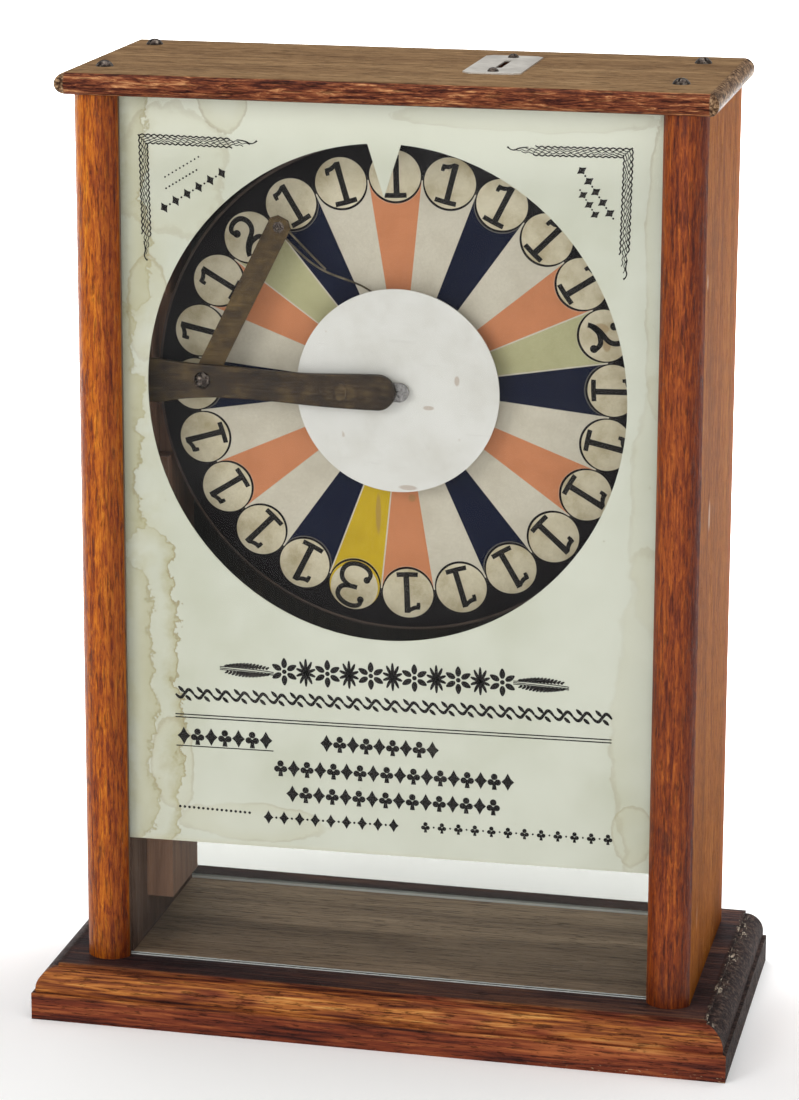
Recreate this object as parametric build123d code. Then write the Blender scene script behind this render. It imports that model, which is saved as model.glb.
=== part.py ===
"""Countertop number-wheel trade stimulator, built as separate pieces.

A coin dropped through the slot in the top falls behind the wheel, strikes the long pins on its back and
lands on the floor of the glazed case. A sprung wire clicks over a ring of short pins and stops the wheel.

Frame: millimetres, +Z up, the glazed front faces -Y, origin at the centre of the base's underside.
"""
import os
from math import cos, radians, sin, sqrt
from build123d import *

# ---------------------------------------------------------------- driving sizes
# case
case_width = 280.0          # across the outer faces of the side boards
side_thickness = 19.5
side_depth = 114.3
side_height = 401.3
side_round = 6.0            # how far the front edge of a side board is rounded forward
base_thickness = 24.2
base_side_lip = 20.0        # the base shows this much beyond each side board
base_front_lip = 19.6
base_rear_lip = 14.7
top_thickness = 10.0
top_side_lip = 5.5
top_front_lip = 6.2
top_bulge = 4.2             # how far the rounded edge stands out from its arris

# base moulding, from the top edge outwards and down
quirk_width = 1.3
quirk_drop = 1.4
ovolo_width = 7.2
ovolo_drop = 9.3
fillet_width = 1.6
fillet_drop = 1.0

# glazing
glass_thickness = 2.2
glass_setback = 9.2         # front face of the front glass behind the side boards' foremost line
groove_depth = 5.0
glass_play = 0.4            # between a pane's edge and the bottom of its groove
rear_pane_height = 80.8     # the rear is glazed up to here above the floor, with a thin board above
card_thickness = 0.5
card_rise_left = 56.2       # the card's lower edge above the floor; it is cut slightly askew
card_rise_right = 58.8
window_side_lap = 4.5       # the card laps over the wheel this much at the sides of its round window
window_top_lap = 0.5
window_offset_x = -1.7
window_offset_z = 1.9
pointer_x = -2.0            # a pointed tongue left in the card at the top of the window
pointer_width = 16.4
pointer_drop = 23.5         # how far its tip hangs into the window

# wheel
wheel_side_gap = 8.0        # between the wheel's rim and each side board
wheel_top_gap = 20.1        # between the wheel's rim and the top board
wheel_setback = 39.3        # printed face of the wheel behind the side boards' foremost line
wheel_thickness = 3.0
face_thickness = 0.3
face_margin = 1.2           # raw rim of the disc left showing round the printed face
hub_disc_thickness = 0.8
hub_disc_gap = 7.8          # between the white disc's back and the wheel's printed face
click_count = 24
click_circle = 42.0
hub_disc_cover = 4.2        # the white disc reaches this far beyond the click pins' circle
click_pin_radius = 0.8
click_phase = -4.3          # degrees clockwise from the top to the first click pin
drive_count = 12
drive_circle = 58.0
drive_pin_radius = 1.25
drive_pin_lap = 2.2         # the drive pins reach this far past the middle of the falling coin
axle_radius = 2.0
running_clearance = 0.05    # on the radius, where something turns or a screw passes
fixed_clearance = 0.02      # on the radius, where a pin, rivet or boss is fast in its hole
hole_spare = 0.5            # a screw's hole runs on this far past its point
hub_boss_radius = 6.0
hub_flange_radius = 16.0
hub_flange_thickness = 2.0
hub_rear_radius = 8.0
hub_rear_length = 11.8
rivet_circle = 11.5
rivet_radius = 1.2
rivet_head = 2.2

# front bearing arm and click spring
washer_space = 1.7          # between the steel tongue behind the arm and the white disc
arm_thickness = 2.5
arm_half_tip = 8.0
arm_half_waist = 7.0
arm_half_foot = 9.5
tongue_thickness = 1.5
tongue_half_width = 4.3
tongue_length = 40.0
strip_width = 10.4
strip_thickness = 0.8
wire_radius = 0.45

# coin path
coin_x = 40.3               # plane in which the coin falls, to the right of the axle
coin_setback = 63.2         # middle of the slot behind the side boards' foremost line
slot_length = 25.2
slot_width = 3.0
slot_margin = 1.0           # how much larger the opening in the wood is, on each side
plate_thickness = 0.6
plate_length = 59.6
plate_width = 26.0
plate_clip = 3.0
chute_wall = 0.6
chute_clearance = 2.0       # between the chute's mouth and the top of the drive pins' circle
chute_flange = 9.0

# rear support
cleat_width = 12.5
cleat_front = 36.0
cleat_depth = 42.0
left_cleat_rise = 19.0      # the cleats stop this far above the floor
right_cleat_rise = 75.0
strap_thickness = 2.5
strap_half_height = 8.0

# rear turn buttons
button_thickness = 1.2
button_half_width = 4.5
button_reach = 15.0
button_tail = 6.5
moving_gap = 0.3

# ---------------------------------------------------------------- derived sizes
half_case = case_width / 2
half_inside = half_case - side_thickness
base_width = case_width + 2 * base_side_lip
base_depth = side_depth + base_front_lip + base_rear_lip
front_y = base_front_lip - base_depth / 2
rear_y = front_y + side_depth
floor_z = base_thickness
ceiling_z = base_thickness + side_height
seam_z = floor_z + rear_pane_height
top_z = ceiling_z + top_thickness
side_centre = half_case - side_thickness / 2

wheel_radius = half_inside - wheel_side_gap
axis_height = ceiling_z - wheel_top_gap - wheel_radius
face_radius = wheel_radius - face_margin
hub_disc_radius = click_circle + hub_disc_cover
window_half_width = wheel_radius - window_side_lap
window_half_height = wheel_radius - window_top_lap

glass_y = front_y + glass_setback
card_y = glass_y + glass_thickness + 0.1
face_y = front_y + wheel_setback
wheel_y = face_y + face_thickness
wheel_back = wheel_y + wheel_thickness
disc_back = face_y - hub_disc_gap
disc_front = disc_back - hub_disc_thickness
tongue_back = disc_front - washer_space
arm_back = tongue_back - tongue_thickness
arm_y = arm_back - arm_thickness
cleat_y = front_y + cleat_front
foot_depth = cleat_y - arm_y
strap_y = cleat_y + cleat_depth
strap_back = strap_y + strap_thickness
coin_y = front_y + coin_setback
rear_glass_y = rear_y - glass_thickness - moving_gap
button_y = rear_y + moving_gap
button_back = button_y + button_thickness

nodes = {}


def save(name, *solids):
    """Write one named piece; identical fasteners share one node as separate solids."""
    shape = solids[0] if len(solids) == 1 else Compound(children=list(solids))
    nodes[name] = shape
    export_step(shape, "parts/" + name + ".step")


def block(x0, x1, y0, y1, z0, z1):
    """Box between two corners."""
    return Pos((x0 + x1) / 2, (y0 + y1) / 2, (z0 + z1) / 2) * Box(x1 - x0, y1 - y0, z1 - z0)


def rod_y(x, z, radius, y0, y1):
    """Round bar along Y."""
    return Pos(x, (y0 + y1) / 2, z) * Rot(90, 0, 0) * Cylinder(radius, y1 - y0)


def rod_x(y, z, radius, x0, x1):
    """Round bar along X."""
    return Pos((x0 + x1) / 2, y, z) * Rot(0, 90, 0) * Cylinder(radius, x1 - x0)


def rod_z(x, y, radius, z0, z1):
    """Round bar along Z."""
    return Pos(x, y, (z0 + z1) / 2) * Cylinder(radius, z1 - z0)


def on_wheel(radius, degrees):
    """Point on the wheel, clockwise from the top as seen from the front."""
    return radius * sin(radians(degrees)), axis_height + radius * cos(radians(degrees))


def plate_xz(outline, y0, y1):
    """Flat plate parallel to the front, from an outline of (x, z) points."""
    face = make_face(Polyline(*[(x, z) for x, z in outline], close=True))
    return Pos(0, y1, 0) * Rot(90, 0, 0) * extrude(face, y1 - y0)


def round_head_screw(head_radius, head_height, shank_radius, length, turn):
    """Slotted round-head wood screw: the head sits on z = 0, the shank points down."""
    ball = (head_radius ** 2 + head_height ** 2) / (2 * head_height)
    dome = Pos(0, 0, head_height - ball) * Sphere(ball)
    head = dome & (Pos(0, 0, head_height / 2) * Cylinder(head_radius, head_height))
    slot_depth = head_height * 0.55
    slot = Pos(0, 0, head_height - slot_depth / 2) * Box(3 * head_radius, head_radius * 0.24, slot_depth)
    shank = Pos(0, 0, -(length - 2 * shank_radius) / 2) * Cylinder(shank_radius, length - 2 * shank_radius)
    tip = Pos(0, 0, shank_radius - length) * Cone(0.3, shank_radius, 2 * shank_radius)
    return Rot(0, 0, turn) * (head + shank + tip - slot)


def flat_head_screw(head_radius, head_depth, shank_radius, length, turn):
    """Slotted countersunk wood screw: the head's face lies on z = 0, the shank points down."""
    head = Pos(0, 0, -head_depth / 2) * Cone(shank_radius, head_radius, head_depth)
    slot = Pos(0, 0, -head_depth * 0.2) * Box(3 * head_radius, head_radius * 0.22, head_depth * 0.4)
    shank_end = length - 2 * shank_radius
    shank = Pos(0, 0, -(head_depth + shank_end) / 2) * Cylinder(shank_radius, shank_end - head_depth)
    tip = Pos(0, 0, shank_radius - length) * Cone(0.3, shank_radius, 2 * shank_radius)
    return Rot(0, 0, turn) * (head + shank + tip - slot)


def countersink(head_radius, head_depth, shank_radius, length):
    """Cutter for a flat-head screw: its cone is a fit for the head, with a clear hole for the shank."""
    cone = Pos(0, 0, -head_depth / 2) * Cone(shank_radius, head_radius, head_depth)
    hole = Pos(0, 0, -length / 2) * Cylinder(shank_radius + running_clearance, length)
    return cone + hole


os.makedirs("parts", exist_ok=True)

# ---------------------------------------------------------------- base board
# One board, moulded along the front and both ends; the rear edge is left square.
step_1 = quirk_width
step_2 = quirk_width + ovolo_width
step_3 = quirk_width + ovolo_width + fillet_width
drop_1 = base_thickness - quirk_drop
drop_2 = drop_1 - ovolo_drop
drop_3 = drop_2 - fillet_drop


def moulding(edge):
    """Right-hand half of the moulded section: flat, quirk, ovolo, fillet, upright face."""
    flat = edge - step_3
    bulge = sin(radians(45))
    rise = (flat + step_1 + ovolo_width * bulge, drop_2 + ovolo_drop * bulge)
    lines = [
        Line((0, 0), (edge, 0)),
        Line((edge, 0), (edge, drop_3)),
        Line((edge, drop_3), (edge - fillet_width, drop_3)),
        Line((edge - fillet_width, drop_3), (edge - fillet_width, drop_2)),
        ThreePointArc((edge - fillet_width, drop_2), rise, (flat + step_1, drop_1)),
        Line((flat + step_1, drop_1), (flat, drop_1)),
        Line((flat, drop_1), (flat, base_thickness)),
        Line((flat, base_thickness), (0, base_thickness)),
        Line((0, base_thickness), (0, 0)),
    ]
    return make_face(lines)


def run_along_y(section, back, length, height):
    """Right-hand half section (width, height) carried forward from the plane y = back, with its mirror image."""
    half = extrude(Plane(origin=(0, back, height), x_dir=(1, 0, 0), z_dir=(0, -1, 0)) * section, length)
    return half + mirror(half, Plane.YZ)


def run_along_x(section, width, height):
    """Section (reach forward, height) carried across the front."""
    return extrude(Plane(origin=(width / 2, 0, height), x_dir=(0, -1, 0), z_dir=(-1, 0, 0)) * section, width)


end_run = run_along_y(moulding(base_width / 2), base_depth / 2, base_depth, 0)
front_run = run_along_x(moulding(base_depth / 2), base_width, 0)
rear_half = block(-base_width / 2, base_width / 2, 0, base_depth / 2, 0, base_thickness)
base_board = end_run & (front_run + rear_half)

base_screw_radius = 2.1
base_screw_head = 4.2
base_screw_depth = 3.0
base_screw_length = 50.0
base_screw_sink = 0.6
base_screw_inset = 24.0
base_screw_points = [
    (side * side_centre, y) for side in (-1, 1) for y in (front_y + base_screw_inset, rear_y - base_screw_inset)
]
base_screws = []
for x, y in base_screw_points:
    place = Pos(x, y, base_screw_sink) * Rot(180, 0, 0)
    base_board -= place * countersink(base_screw_head, base_screw_depth, base_screw_radius, base_thickness)
    base_board -= rod_z(x, y, base_screw_head, -1, base_screw_sink)
    base_screws.append(place * flat_head_screw(
        base_screw_head, base_screw_depth, base_screw_radius, base_screw_length, 20 + x + y))
save("base_board", base_board)
save("base_screws", *base_screws)

# ---------------------------------------------------------------- side boards
# Rounded front edge, a groove for the front glass and card, a rabbet for the rear pane and board.
groove_front = glass_y - 0.1
groove_back = card_y + card_thickness + 0.2
top_screw_radius = 2.0
top_screw_head = 3.95
top_screw_height = 2.7
top_screw_length = 30.0
left_screw_insets = (20.0, 16.3)          # from the case's front and rear; put in by hand, so uneven
right_screw_insets = (23.0, 22.3)
right_screw_shift = 5.0      # the right-hand pair went in nearer the inner face
top_screw_points = [
    (-side_centre, front_y + left_screw_insets[0]),
    (-side_centre, rear_y - left_screw_insets[1]),
    (side_centre - right_screw_shift, front_y + right_screw_insets[0]),
    (side_centre - right_screw_shift, rear_y - right_screw_insets[1]),
]
cleat_screw_radius = 1.6
cleat_screw_head = 3.2
cleat_screw_depth = 2.2
cleat_screw_length = 24.0
cleat_screw_y = cleat_y + cleat_depth * 0.55
cleat_bottoms = {-1: floor_z + left_cleat_rise, 1: floor_z + right_cleat_rise}
cleat_screw_heights = {
    side: [cleat_bottoms[side] + 30, axis_height - 75, axis_height + 75] for side in (-1, 1)
}
arm_screw_radius = 1.5
arm_screw_length = 15.0
arm_screw_y = arm_y + foot_depth * 0.62
arm_screw_heights = [axis_height - 5.2, axis_height + 5.2]
button_heights = [seam_z, ceiling_z - 85.0]
button_screw_radius = 1.7
button_screw_length = 17.0


def side_board(side):
    """Left (-1) or right (+1) board, outline drawn in plan."""
    outer = side * half_case
    inner = side * half_inside
    rabbet = side * (half_inside + groove_depth)
    outline = [
        ThreePointArc((outer, front_y + side_round), (side * side_centre, front_y), (inner, front_y + side_round)),
        Line((inner, front_y + side_round), (inner, groove_front)),
        Line((inner, groove_front), (rabbet, groove_front)),
        Line((rabbet, groove_front), (rabbet, groove_back)),
        Line((rabbet, groove_back), (inner, groove_back)),
        Line((inner, groove_back), (inner, rear_glass_y)),
        Line((inner, rear_glass_y), (rabbet, rear_glass_y)),
        Line((rabbet, rear_glass_y), (rabbet, rear_y)),
        Line((rabbet, rear_y), (outer, rear_y)),
        Line((outer, rear_y), (outer, front_y + side_round)),
    ]
    face = make_face(outline)
    board = extrude(face, side_height, dir=(0, 0, 1))
    board = Pos(0, 0, floor_z) * board
    for x, y in base_screw_points:
        if x * side > 0:
            end = base_screw_sink + base_screw_length + hole_spare
            board -= rod_z(x, y, base_screw_radius + running_clearance, floor_z - 1, end)
    for x, y in top_screw_points:
        if x * side > 0:
            end = top_z - top_screw_length - hole_spare
            board -= rod_z(x, y, top_screw_radius + running_clearance, end, ceiling_z + 1)
    for z in cleat_screw_heights[side]:
        depth = cleat_screw_length - cleat_width + hole_spare
        ends = sorted([inner - side, inner + side * depth])
        board -= rod_x(cleat_screw_y, z, cleat_screw_radius + running_clearance, *ends)
    for z in button_heights:
        depth = button_screw_length - button_thickness - 2 * moving_gap + hole_spare
        board -= rod_y(side * side_centre, z, button_screw_radius + running_clearance, rear_y - depth, rear_y + 1)
    if side < 0:
        for z in arm_screw_heights:
            depth = arm_screw_length - arm_thickness + hole_spare
            board -= rod_x(arm_screw_y, z, arm_screw_radius + running_clearance, inner - depth, inner + 1)
    return board


save("left_side_board", side_board(-1))
save("right_side_board", side_board(1))

# ---------------------------------------------------------------- top board
# Rounded front and end edges, each meeting the flat faces at an arris; square rear edge.


def top_section(edge):
    """Right-hand half of the top's section."""
    arris = edge - top_bulge
    return make_face([
        Line((0, 0), (arris, 0)),
        ThreePointArc((arris, 0), (edge, top_thickness / 2), (arris, top_thickness)),
        Line((arris, top_thickness), (0, top_thickness)),
        Line((0, top_thickness), (0, 0)),
    ])


top_half = half_case + top_side_lip
top_front = front_y - top_front_lip
top_run = run_along_y(top_section(top_half), rear_y, rear_y - top_front, ceiling_z)
top_nose = run_along_x(top_section(-top_front), 2 * top_half, ceiling_z)
top_tail = block(-top_half, top_half, 0, rear_y, ceiling_z, top_z)
top_board = top_run & (top_nose + top_tail)
opening_x = slot_width / 2 + slot_margin
opening_y = slot_length / 2 + slot_margin
top_board -= block(coin_x - opening_x, coin_x + opening_x, coin_y - opening_y, coin_y + opening_y,
                   ceiling_z - 1, top_z + 1)
top_screws = []
for x, y in top_screw_points:
    top_board -= rod_z(x, y, top_screw_radius + running_clearance, ceiling_z - 1, top_z + 1)
    turn = 35 + 3.1 * x / side_centre * 9 + 0.6 * (y - front_y)
    top_screws.append(Pos(x, y, top_z) * round_head_screw(
        top_screw_head, top_screw_height, top_screw_radius, top_screw_length, turn))
save("top_screws", *top_screws)

# ---------------------------------------------------------------- slot plate and coin chute
plate_outline = [
    (plate_width / 2 - plate_clip, plate_length / 2), (plate_width / 2, plate_length / 2 - plate_clip),
    (plate_width / 2, plate_clip - plate_length / 2), (plate_width / 2 - plate_clip, -plate_length / 2),
    (plate_clip - plate_width / 2, -plate_length / 2), (-plate_width / 2, plate_clip - plate_length / 2),
    (-plate_width / 2, plate_length / 2 - plate_clip), (plate_clip - plate_width / 2, plate_length / 2),
]
slot_plate = extrude(make_face(Polyline(*plate_outline, close=True)), plate_thickness)
slot_end = SlotOverall(slot_length, slot_width, rotation=90)
slot_plate -= Pos(0, 0, -1) * extrude(slot_end, plate_thickness + 2)
slot_plate = Pos(coin_x, coin_y, top_z) * slot_plate
plate_screw_radius = 1.2
plate_screw_length = 9.0
plate_screw_offset = slot_length / 2 + (plate_length - slot_length) / 4 + 2.6
plate_screws = []
for end, turn in ((-1, 25), (1, 118)):
    x, y = coin_x, coin_y + end * plate_screw_offset
    hole = rod_z(x, y, plate_screw_radius + running_clearance, top_z + plate_thickness - plate_screw_length - 0.4,
                 top_z + plate_thickness + 1)
    slot_plate -= hole
    top_board -= hole
    plate_screws.append(Pos(x, y, top_z + plate_thickness) * round_head_screw(
        2.6, 1.7, plate_screw_radius, plate_screw_length, turn))
save("slot_plate", slot_plate)
save("slot_plate_screws", *plate_screws)

chute_bottom = axis_height + drive_circle + drive_pin_radius + chute_clearance
chute = block(coin_x - opening_x - chute_wall, coin_x + opening_x + chute_wall,
              coin_y - opening_y - chute_wall, coin_y + opening_y + chute_wall, chute_bottom, ceiling_z)
chute += block(coin_x - opening_x - chute_flange, coin_x + opening_x + chute_flange,
               coin_y - opening_y - chute_wall, coin_y + opening_y + chute_wall, ceiling_z - chute_wall, ceiling_z)
chute -= block(coin_x - opening_x, coin_x + opening_x, coin_y - opening_y, coin_y + opening_y,
               chute_bottom - 1, ceiling_z + 1)
tack_radius = 0.7
tack_length = 6.0
tacks = []
for dx in (-1, 1):
    for dy in (-1, 1):
        x = coin_x + dx * (opening_x + chute_flange * 0.6)
        y = coin_y + dy * (opening_y - 4.0)
        hole = rod_z(x, y, tack_radius + running_clearance, ceiling_z - chute_wall - 1,
                     ceiling_z + tack_length - chute_wall + 0.3)
        chute -= hole
        top_board -= hole
        shank = rod_z(x, y, tack_radius, ceiling_z - chute_wall - 0.1, ceiling_z + tack_length - chute_wall)
        head = Pos(x, y, ceiling_z - chute_wall - 0.3) * Cone(1.5, 1.8, 0.6)
        tacks.append(shank + head)
save("coin_chute", chute)
save("chute_tacks", *tacks)
save("top_board", top_board)

# ---------------------------------------------------------------- glass and sign card
pane_half = half_inside + groove_depth - glass_play
save("front_glass", block(-pane_half, pane_half, glass_y, glass_y + glass_thickness, floor_z, ceiling_z - 0.3))
save("rear_glass", block(-pane_half, pane_half, rear_glass_y, rear_glass_y + glass_thickness, floor_z, seam_z))
save("back_panel", block(-pane_half, pane_half, rear_glass_y, rear_glass_y + glass_thickness,
                         seam_z, ceiling_z - 0.3))
card_half = pane_half - 0.3
card = plate_xz([(-card_half, floor_z + card_rise_left), (card_half, floor_z + card_rise_right),
                 (card_half, ceiling_z - 0.6), (-card_half, ceiling_z - 0.6)], card_y, card_y + card_thickness)
window_z = axis_height + window_offset_z
window = extrude(Ellipse(window_half_width, window_half_height), card_thickness + 4)
card -= Pos(window_offset_x, card_y + card_thickness + 2, window_z) * Rot(90, 0, 0) * window
pointer_root = window_z + window_half_height + 2.0
card += plate_xz([(pointer_x - pointer_width / 2, pointer_root), (pointer_x, pointer_root - 2.0 - pointer_drop),
                  (pointer_x + pointer_width / 2, pointer_root)], card_y, card_y + card_thickness)
save("sign_card", card)

# ---------------------------------------------------------------- wheel
wheel_disc = rod_y(0, axis_height, wheel_radius, wheel_y, wheel_back)
wheel_face = rod_y(0, axis_height, face_radius, face_y, wheel_y)
hub_hole = rod_y(0, axis_height, hub_boss_radius, face_y - 1, wheel_back + 1)
wheel_disc -= hub_hole
wheel_face -= hub_hole
click_pins = []
for i in range(click_count):
    x, z = on_wheel(click_circle, click_phase + 360 / click_count * i)
    hole = rod_y(x, z, click_pin_radius + fixed_clearance, face_y - 1, wheel_back + 1)
    wheel_disc -= hole
    wheel_face -= hole
    click_pins.append(rod_y(x, z, click_pin_radius, disc_back, wheel_back))
drive_pins = []
for i in range(drive_count):
    x, z = on_wheel(drive_circle, 15 + 360 / drive_count * i)
    wheel_disc -= rod_y(x, z, drive_pin_radius + fixed_clearance, wheel_y - 1, wheel_back + 1)
    pin = rod_y(x, z, drive_pin_radius, wheel_y, coin_y + drive_pin_lap)
    collar = rod_y(x, z, drive_pin_radius + 1.2, wheel_back, wheel_back + 1.0)
    drive_pins.append(pin + collar)
flange_back = wheel_back + hub_flange_thickness
hub_back = flange_back + hub_rear_length
wheel_hub = rod_y(0, axis_height, hub_boss_radius, disc_back, wheel_back)
wheel_hub += rod_y(0, axis_height, hub_flange_radius, wheel_back, flange_back)
wheel_hub += rod_y(0, axis_height, hub_rear_radius, flange_back, hub_back)
wheel_hub -= rod_y(0, axis_height, axle_radius + fixed_clearance, disc_back - 1, hub_back + 1)
hub_rivets = []
for i in range(4):
    x, z = on_wheel(rivet_circle, 45 + 90 * i)
    hole = rod_y(x, z, rivet_radius + fixed_clearance, face_y - 1, flange_back + 1)
    wheel_disc -= hole
    wheel_face -= hole
    wheel_hub -= hole
    rivet = rod_y(x, z, rivet_radius, face_y, flange_back)
    rivet += rod_y(x, z, rivet_head, face_y - 0.9, face_y)
    rivet += rod_y(x, z, rivet_head, flange_back, flange_back + 0.9)
    hub_rivets.append(rivet)
hub_disc = rod_y(0, axis_height, hub_disc_radius, disc_front, disc_back)
hub_disc -= rod_y(0, axis_height, axle_radius + fixed_clearance, disc_front - 1, disc_back + 1)
axle_front = arm_back + moving_gap
bush_front = strap_y - 3.0
bush_back = strap_back + 1.5
axle = rod_y(0, axis_height, axle_radius, axle_front, bush_back + 2.0)
washer = rod_y(0, axis_height, 3.6, tongue_back + moving_gap, disc_front)
washer -= rod_y(0, axis_height, axle_radius + fixed_clearance, tongue_back, disc_front + 1)
collar_back = bush_front - moving_gap
collar_radius = 5.5
collar_length = 6.5
set_screw_radius = 1.2
collar = rod_y(0, axis_height, collar_radius, collar_back - collar_length, collar_back)
collar -= rod_y(0, axis_height, axle_radius + fixed_clearance, collar_back - 8, collar_back + 1)
set_screw_y = collar_back - collar_length / 2
set_screw_top = axis_height + collar_radius + 1.1
collar -= rod_z(0, set_screw_y, set_screw_radius + fixed_clearance, axis_height, set_screw_top)
set_screw = rod_z(0, set_screw_y, set_screw_radius, axis_height + axle_radius + fixed_clearance, set_screw_top)
set_screw -= block(-2, 2, set_screw_y - 0.25, set_screw_y + 0.25, set_screw_top - 0.7, set_screw_top + 1)
save("wheel_disc", wheel_disc)
save("wheel_face", wheel_face)
save("wheel_hub", wheel_hub)
save("hub_rivets", *hub_rivets)
save("click_pins", *click_pins)
save("drive_pins", *drive_pins)
save("hub_disc", hub_disc)
save("axle", axle)
save("front_washer", washer)
save("axle_collar", collar)
save("collar_set_screw", set_screw)

# ---------------------------------------------------------------- front bearing arm
# Brass bar bent back against the left wall, with a rounded spoon-shaped end in front of the axle.
wall = -half_inside
flare_x = wall + 12.5
waist_x = -76.0
mid_x = -41.0
arm_lines = [
    Line((wall, axis_height - arm_half_foot), (flare_x, axis_height - arm_half_foot + 0.2)),
    Spline((flare_x, axis_height - arm_half_foot + 0.2), (waist_x, axis_height - arm_half_waist + 1.2),
           (mid_x, axis_height - arm_half_waist - 0.2), (-arm_half_tip, axis_height - arm_half_tip),
           tangents=((1, 0.25), (1, 0))),
    ThreePointArc((-arm_half_tip, axis_height - arm_half_tip), (0, axis_height),
                  (-arm_half_tip, axis_height + arm_half_tip)),
    Spline((-arm_half_tip, axis_height + arm_half_tip), (mid_x, axis_height + arm_half_waist),
           (waist_x, axis_height + arm_half_waist + 1.4), (flare_x, axis_height + arm_half_foot + 0.8),
           tangents=((-1, 0), (-1, 0.15))),
    Line((flare_x, axis_height + arm_half_foot + 0.8), (wall, axis_height + arm_half_foot + 1.0)),
    Line((wall, axis_height + arm_half_foot + 1.0), (wall, axis_height - arm_half_foot)),
]
front_arm = Pos(0, arm_back, 0) * Rot(90, 0, 0) * extrude(make_face(arm_lines), arm_thickness)
foot = block(wall, wall + arm_thickness, arm_y, arm_y + foot_depth,
             axis_height - arm_half_foot, axis_height + arm_half_foot + 1.0)
front_arm += foot
arm_screws = []
for z in arm_screw_heights:
    front_arm -= rod_x(arm_screw_y, z, arm_screw_radius + running_clearance, wall - 1, wall + arm_thickness + 1)
    screw = round_head_screw(2.9, 1.8, arm_screw_radius, arm_screw_length, 30 + 7 * z)
    arm_screws.append(Pos(wall + arm_thickness, arm_screw_y, z) * Rot(0, 90, 0) * screw)

# steel tongue riveted behind the arm; its end carries the axle
tongue_lines = [
    Line((-tongue_length, axis_height - tongue_half_width), (1.4, axis_height - tongue_half_width)),
    ThreePointArc((1.4, axis_height - tongue_half_width), (1.4 + tongue_half_width, axis_height),
                  (1.4, axis_height + tongue_half_width)),
    Line((1.4, axis_height + tongue_half_width), (-tongue_length, axis_height + tongue_half_width)),
    Line((-tongue_length, axis_height + tongue_half_width), (-tongue_length, axis_height - tongue_half_width)),
]
tongue = Pos(0, tongue_back, 0) * Rot(90, 0, 0) * extrude(make_face(tongue_lines), tongue_thickness)
tongue -= rod_y(0, axis_height, axle_radius + running_clearance, arm_back - 1, tongue_back + 1)
rivet_x = -24.7             # the one rivet that joins tongue and arm
rivet_hole = rod_y(rivet_x, axis_height, rivet_radius + fixed_clearance, arm_y - 1, tongue_back + 1)
front_arm -= rivet_hole
tongue -= rivet_hole
tongue_rivet = rod_y(rivet_x, axis_height, rivet_radius, arm_y, tongue_back)
tongue_rivet += rod_y(rivet_x, axis_height, 1.9, tongue_back, tongue_back + 0.7)
rivet_mark = extrude(Ellipse(2.5, 3.9), 0.35)     # hammered out almost flat on the arm's face
tongue_rivet += Pos(rivet_x, arm_y, axis_height - 0.4) * Rot(90, 0, 0) * rivet_mark

# ---------------------------------------------------------------- click spring
# Brass strip clamped behind the arm; a sprung wire pivots at its upper end and drops between the click pins.
strip_foot_x, strip_foot_z = -88.4, axis_height + 1.7
strip_top_x, strip_top_z = -53.5, axis_height + 72.4
strip_back = arm_back + strip_thickness
run_x = strip_top_x - strip_foot_x
run_z = strip_top_z - strip_foot_z
strip_run = sqrt(run_x ** 2 + run_z ** 2)
ux, uz = run_x / strip_run, run_z / strip_run
half = strip_width / 2
end_reach = 4.6             # the squared upper end goes this far past the rivet
end_clip = 2.6


def along_strip(forward, across):
    """Point on the strip, from its rivet: forward past the upper end, across to the right."""
    return strip_top_x + forward * ux + across * uz, strip_top_z + forward * uz - across * ux


strip_lines = [
    Line(along_strip(-strip_run, half), along_strip(end_reach - end_clip, half)),
    Line(along_strip(end_reach - end_clip, half), along_strip(end_reach, half - end_clip)),
    Line(along_strip(end_reach, half - end_clip), along_strip(end_reach, end_clip - half)),
    Line(along_strip(end_reach, end_clip - half), along_strip(end_reach - end_clip, -half)),
    Line(along_strip(end_reach - end_clip, -half), along_strip(-strip_run, -half)),
    ThreePointArc(along_strip(-strip_run, -half), along_strip(-strip_run - half, 0),
                  along_strip(-strip_run, half)),
]
strip = Pos(0, strip_back, 0) * Rot(90, 0, 0) * extrude(make_face(strip_lines), strip_thickness)
strip_screw_radius = 1.7
strip_hole = rod_y(strip_foot_x, strip_foot_z, strip_screw_radius + running_clearance, arm_y - 1, strip_back + 1)
front_arm -= strip_hole
strip -= strip_hole
strip_screw = Pos(strip_foot_x, arm_y, strip_foot_z) * Rot(90, 0, 0) * round_head_screw(
    3.9, 2.3, strip_screw_radius, 6.5, 50)
nut = Pos(strip_foot_x, strip_back + 1.0, strip_foot_z) * Rot(0, 26, 0) * Box(6.4, 2.0, 6.4)
nut -= rod_y(strip_foot_x, strip_foot_z, strip_screw_radius + running_clearance, strip_back - 1, strip_back + 3)
pivot_radius = 1.1
strip -= rod_y(strip_top_x, strip_top_z, pivot_radius + fixed_clearance, arm_back - 1, strip_back + 1)
loop_gap = 0.3
loop_y = strip_back + loop_gap + wire_radius
pivot_end = loop_y + wire_radius + loop_gap
strip_rivet = rod_y(strip_top_x, strip_top_z, pivot_radius, arm_back, pivot_end + 0.6)
strip_rivet += rod_y(strip_top_x, strip_top_z, 2.5, arm_back - 0.5, arm_back)
strip_rivet += rod_y(strip_top_x, strip_top_z, pivot_radius, arm_back - 1.0, arm_back)
strip_rivet += rod_y(strip_top_x, strip_top_z, 2.2, pivot_end, pivot_end + 0.6)
save("front_arm", front_arm)
save("arm_screws", *arm_screws)
save("arm_tongue", tongue)
save("tongue_rivet", tongue_rivet)
save("click_strip", strip)
save("strip_screw", strip_screw)
save("strip_nut", nut)
save("strip_rivet", strip_rivet)

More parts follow.
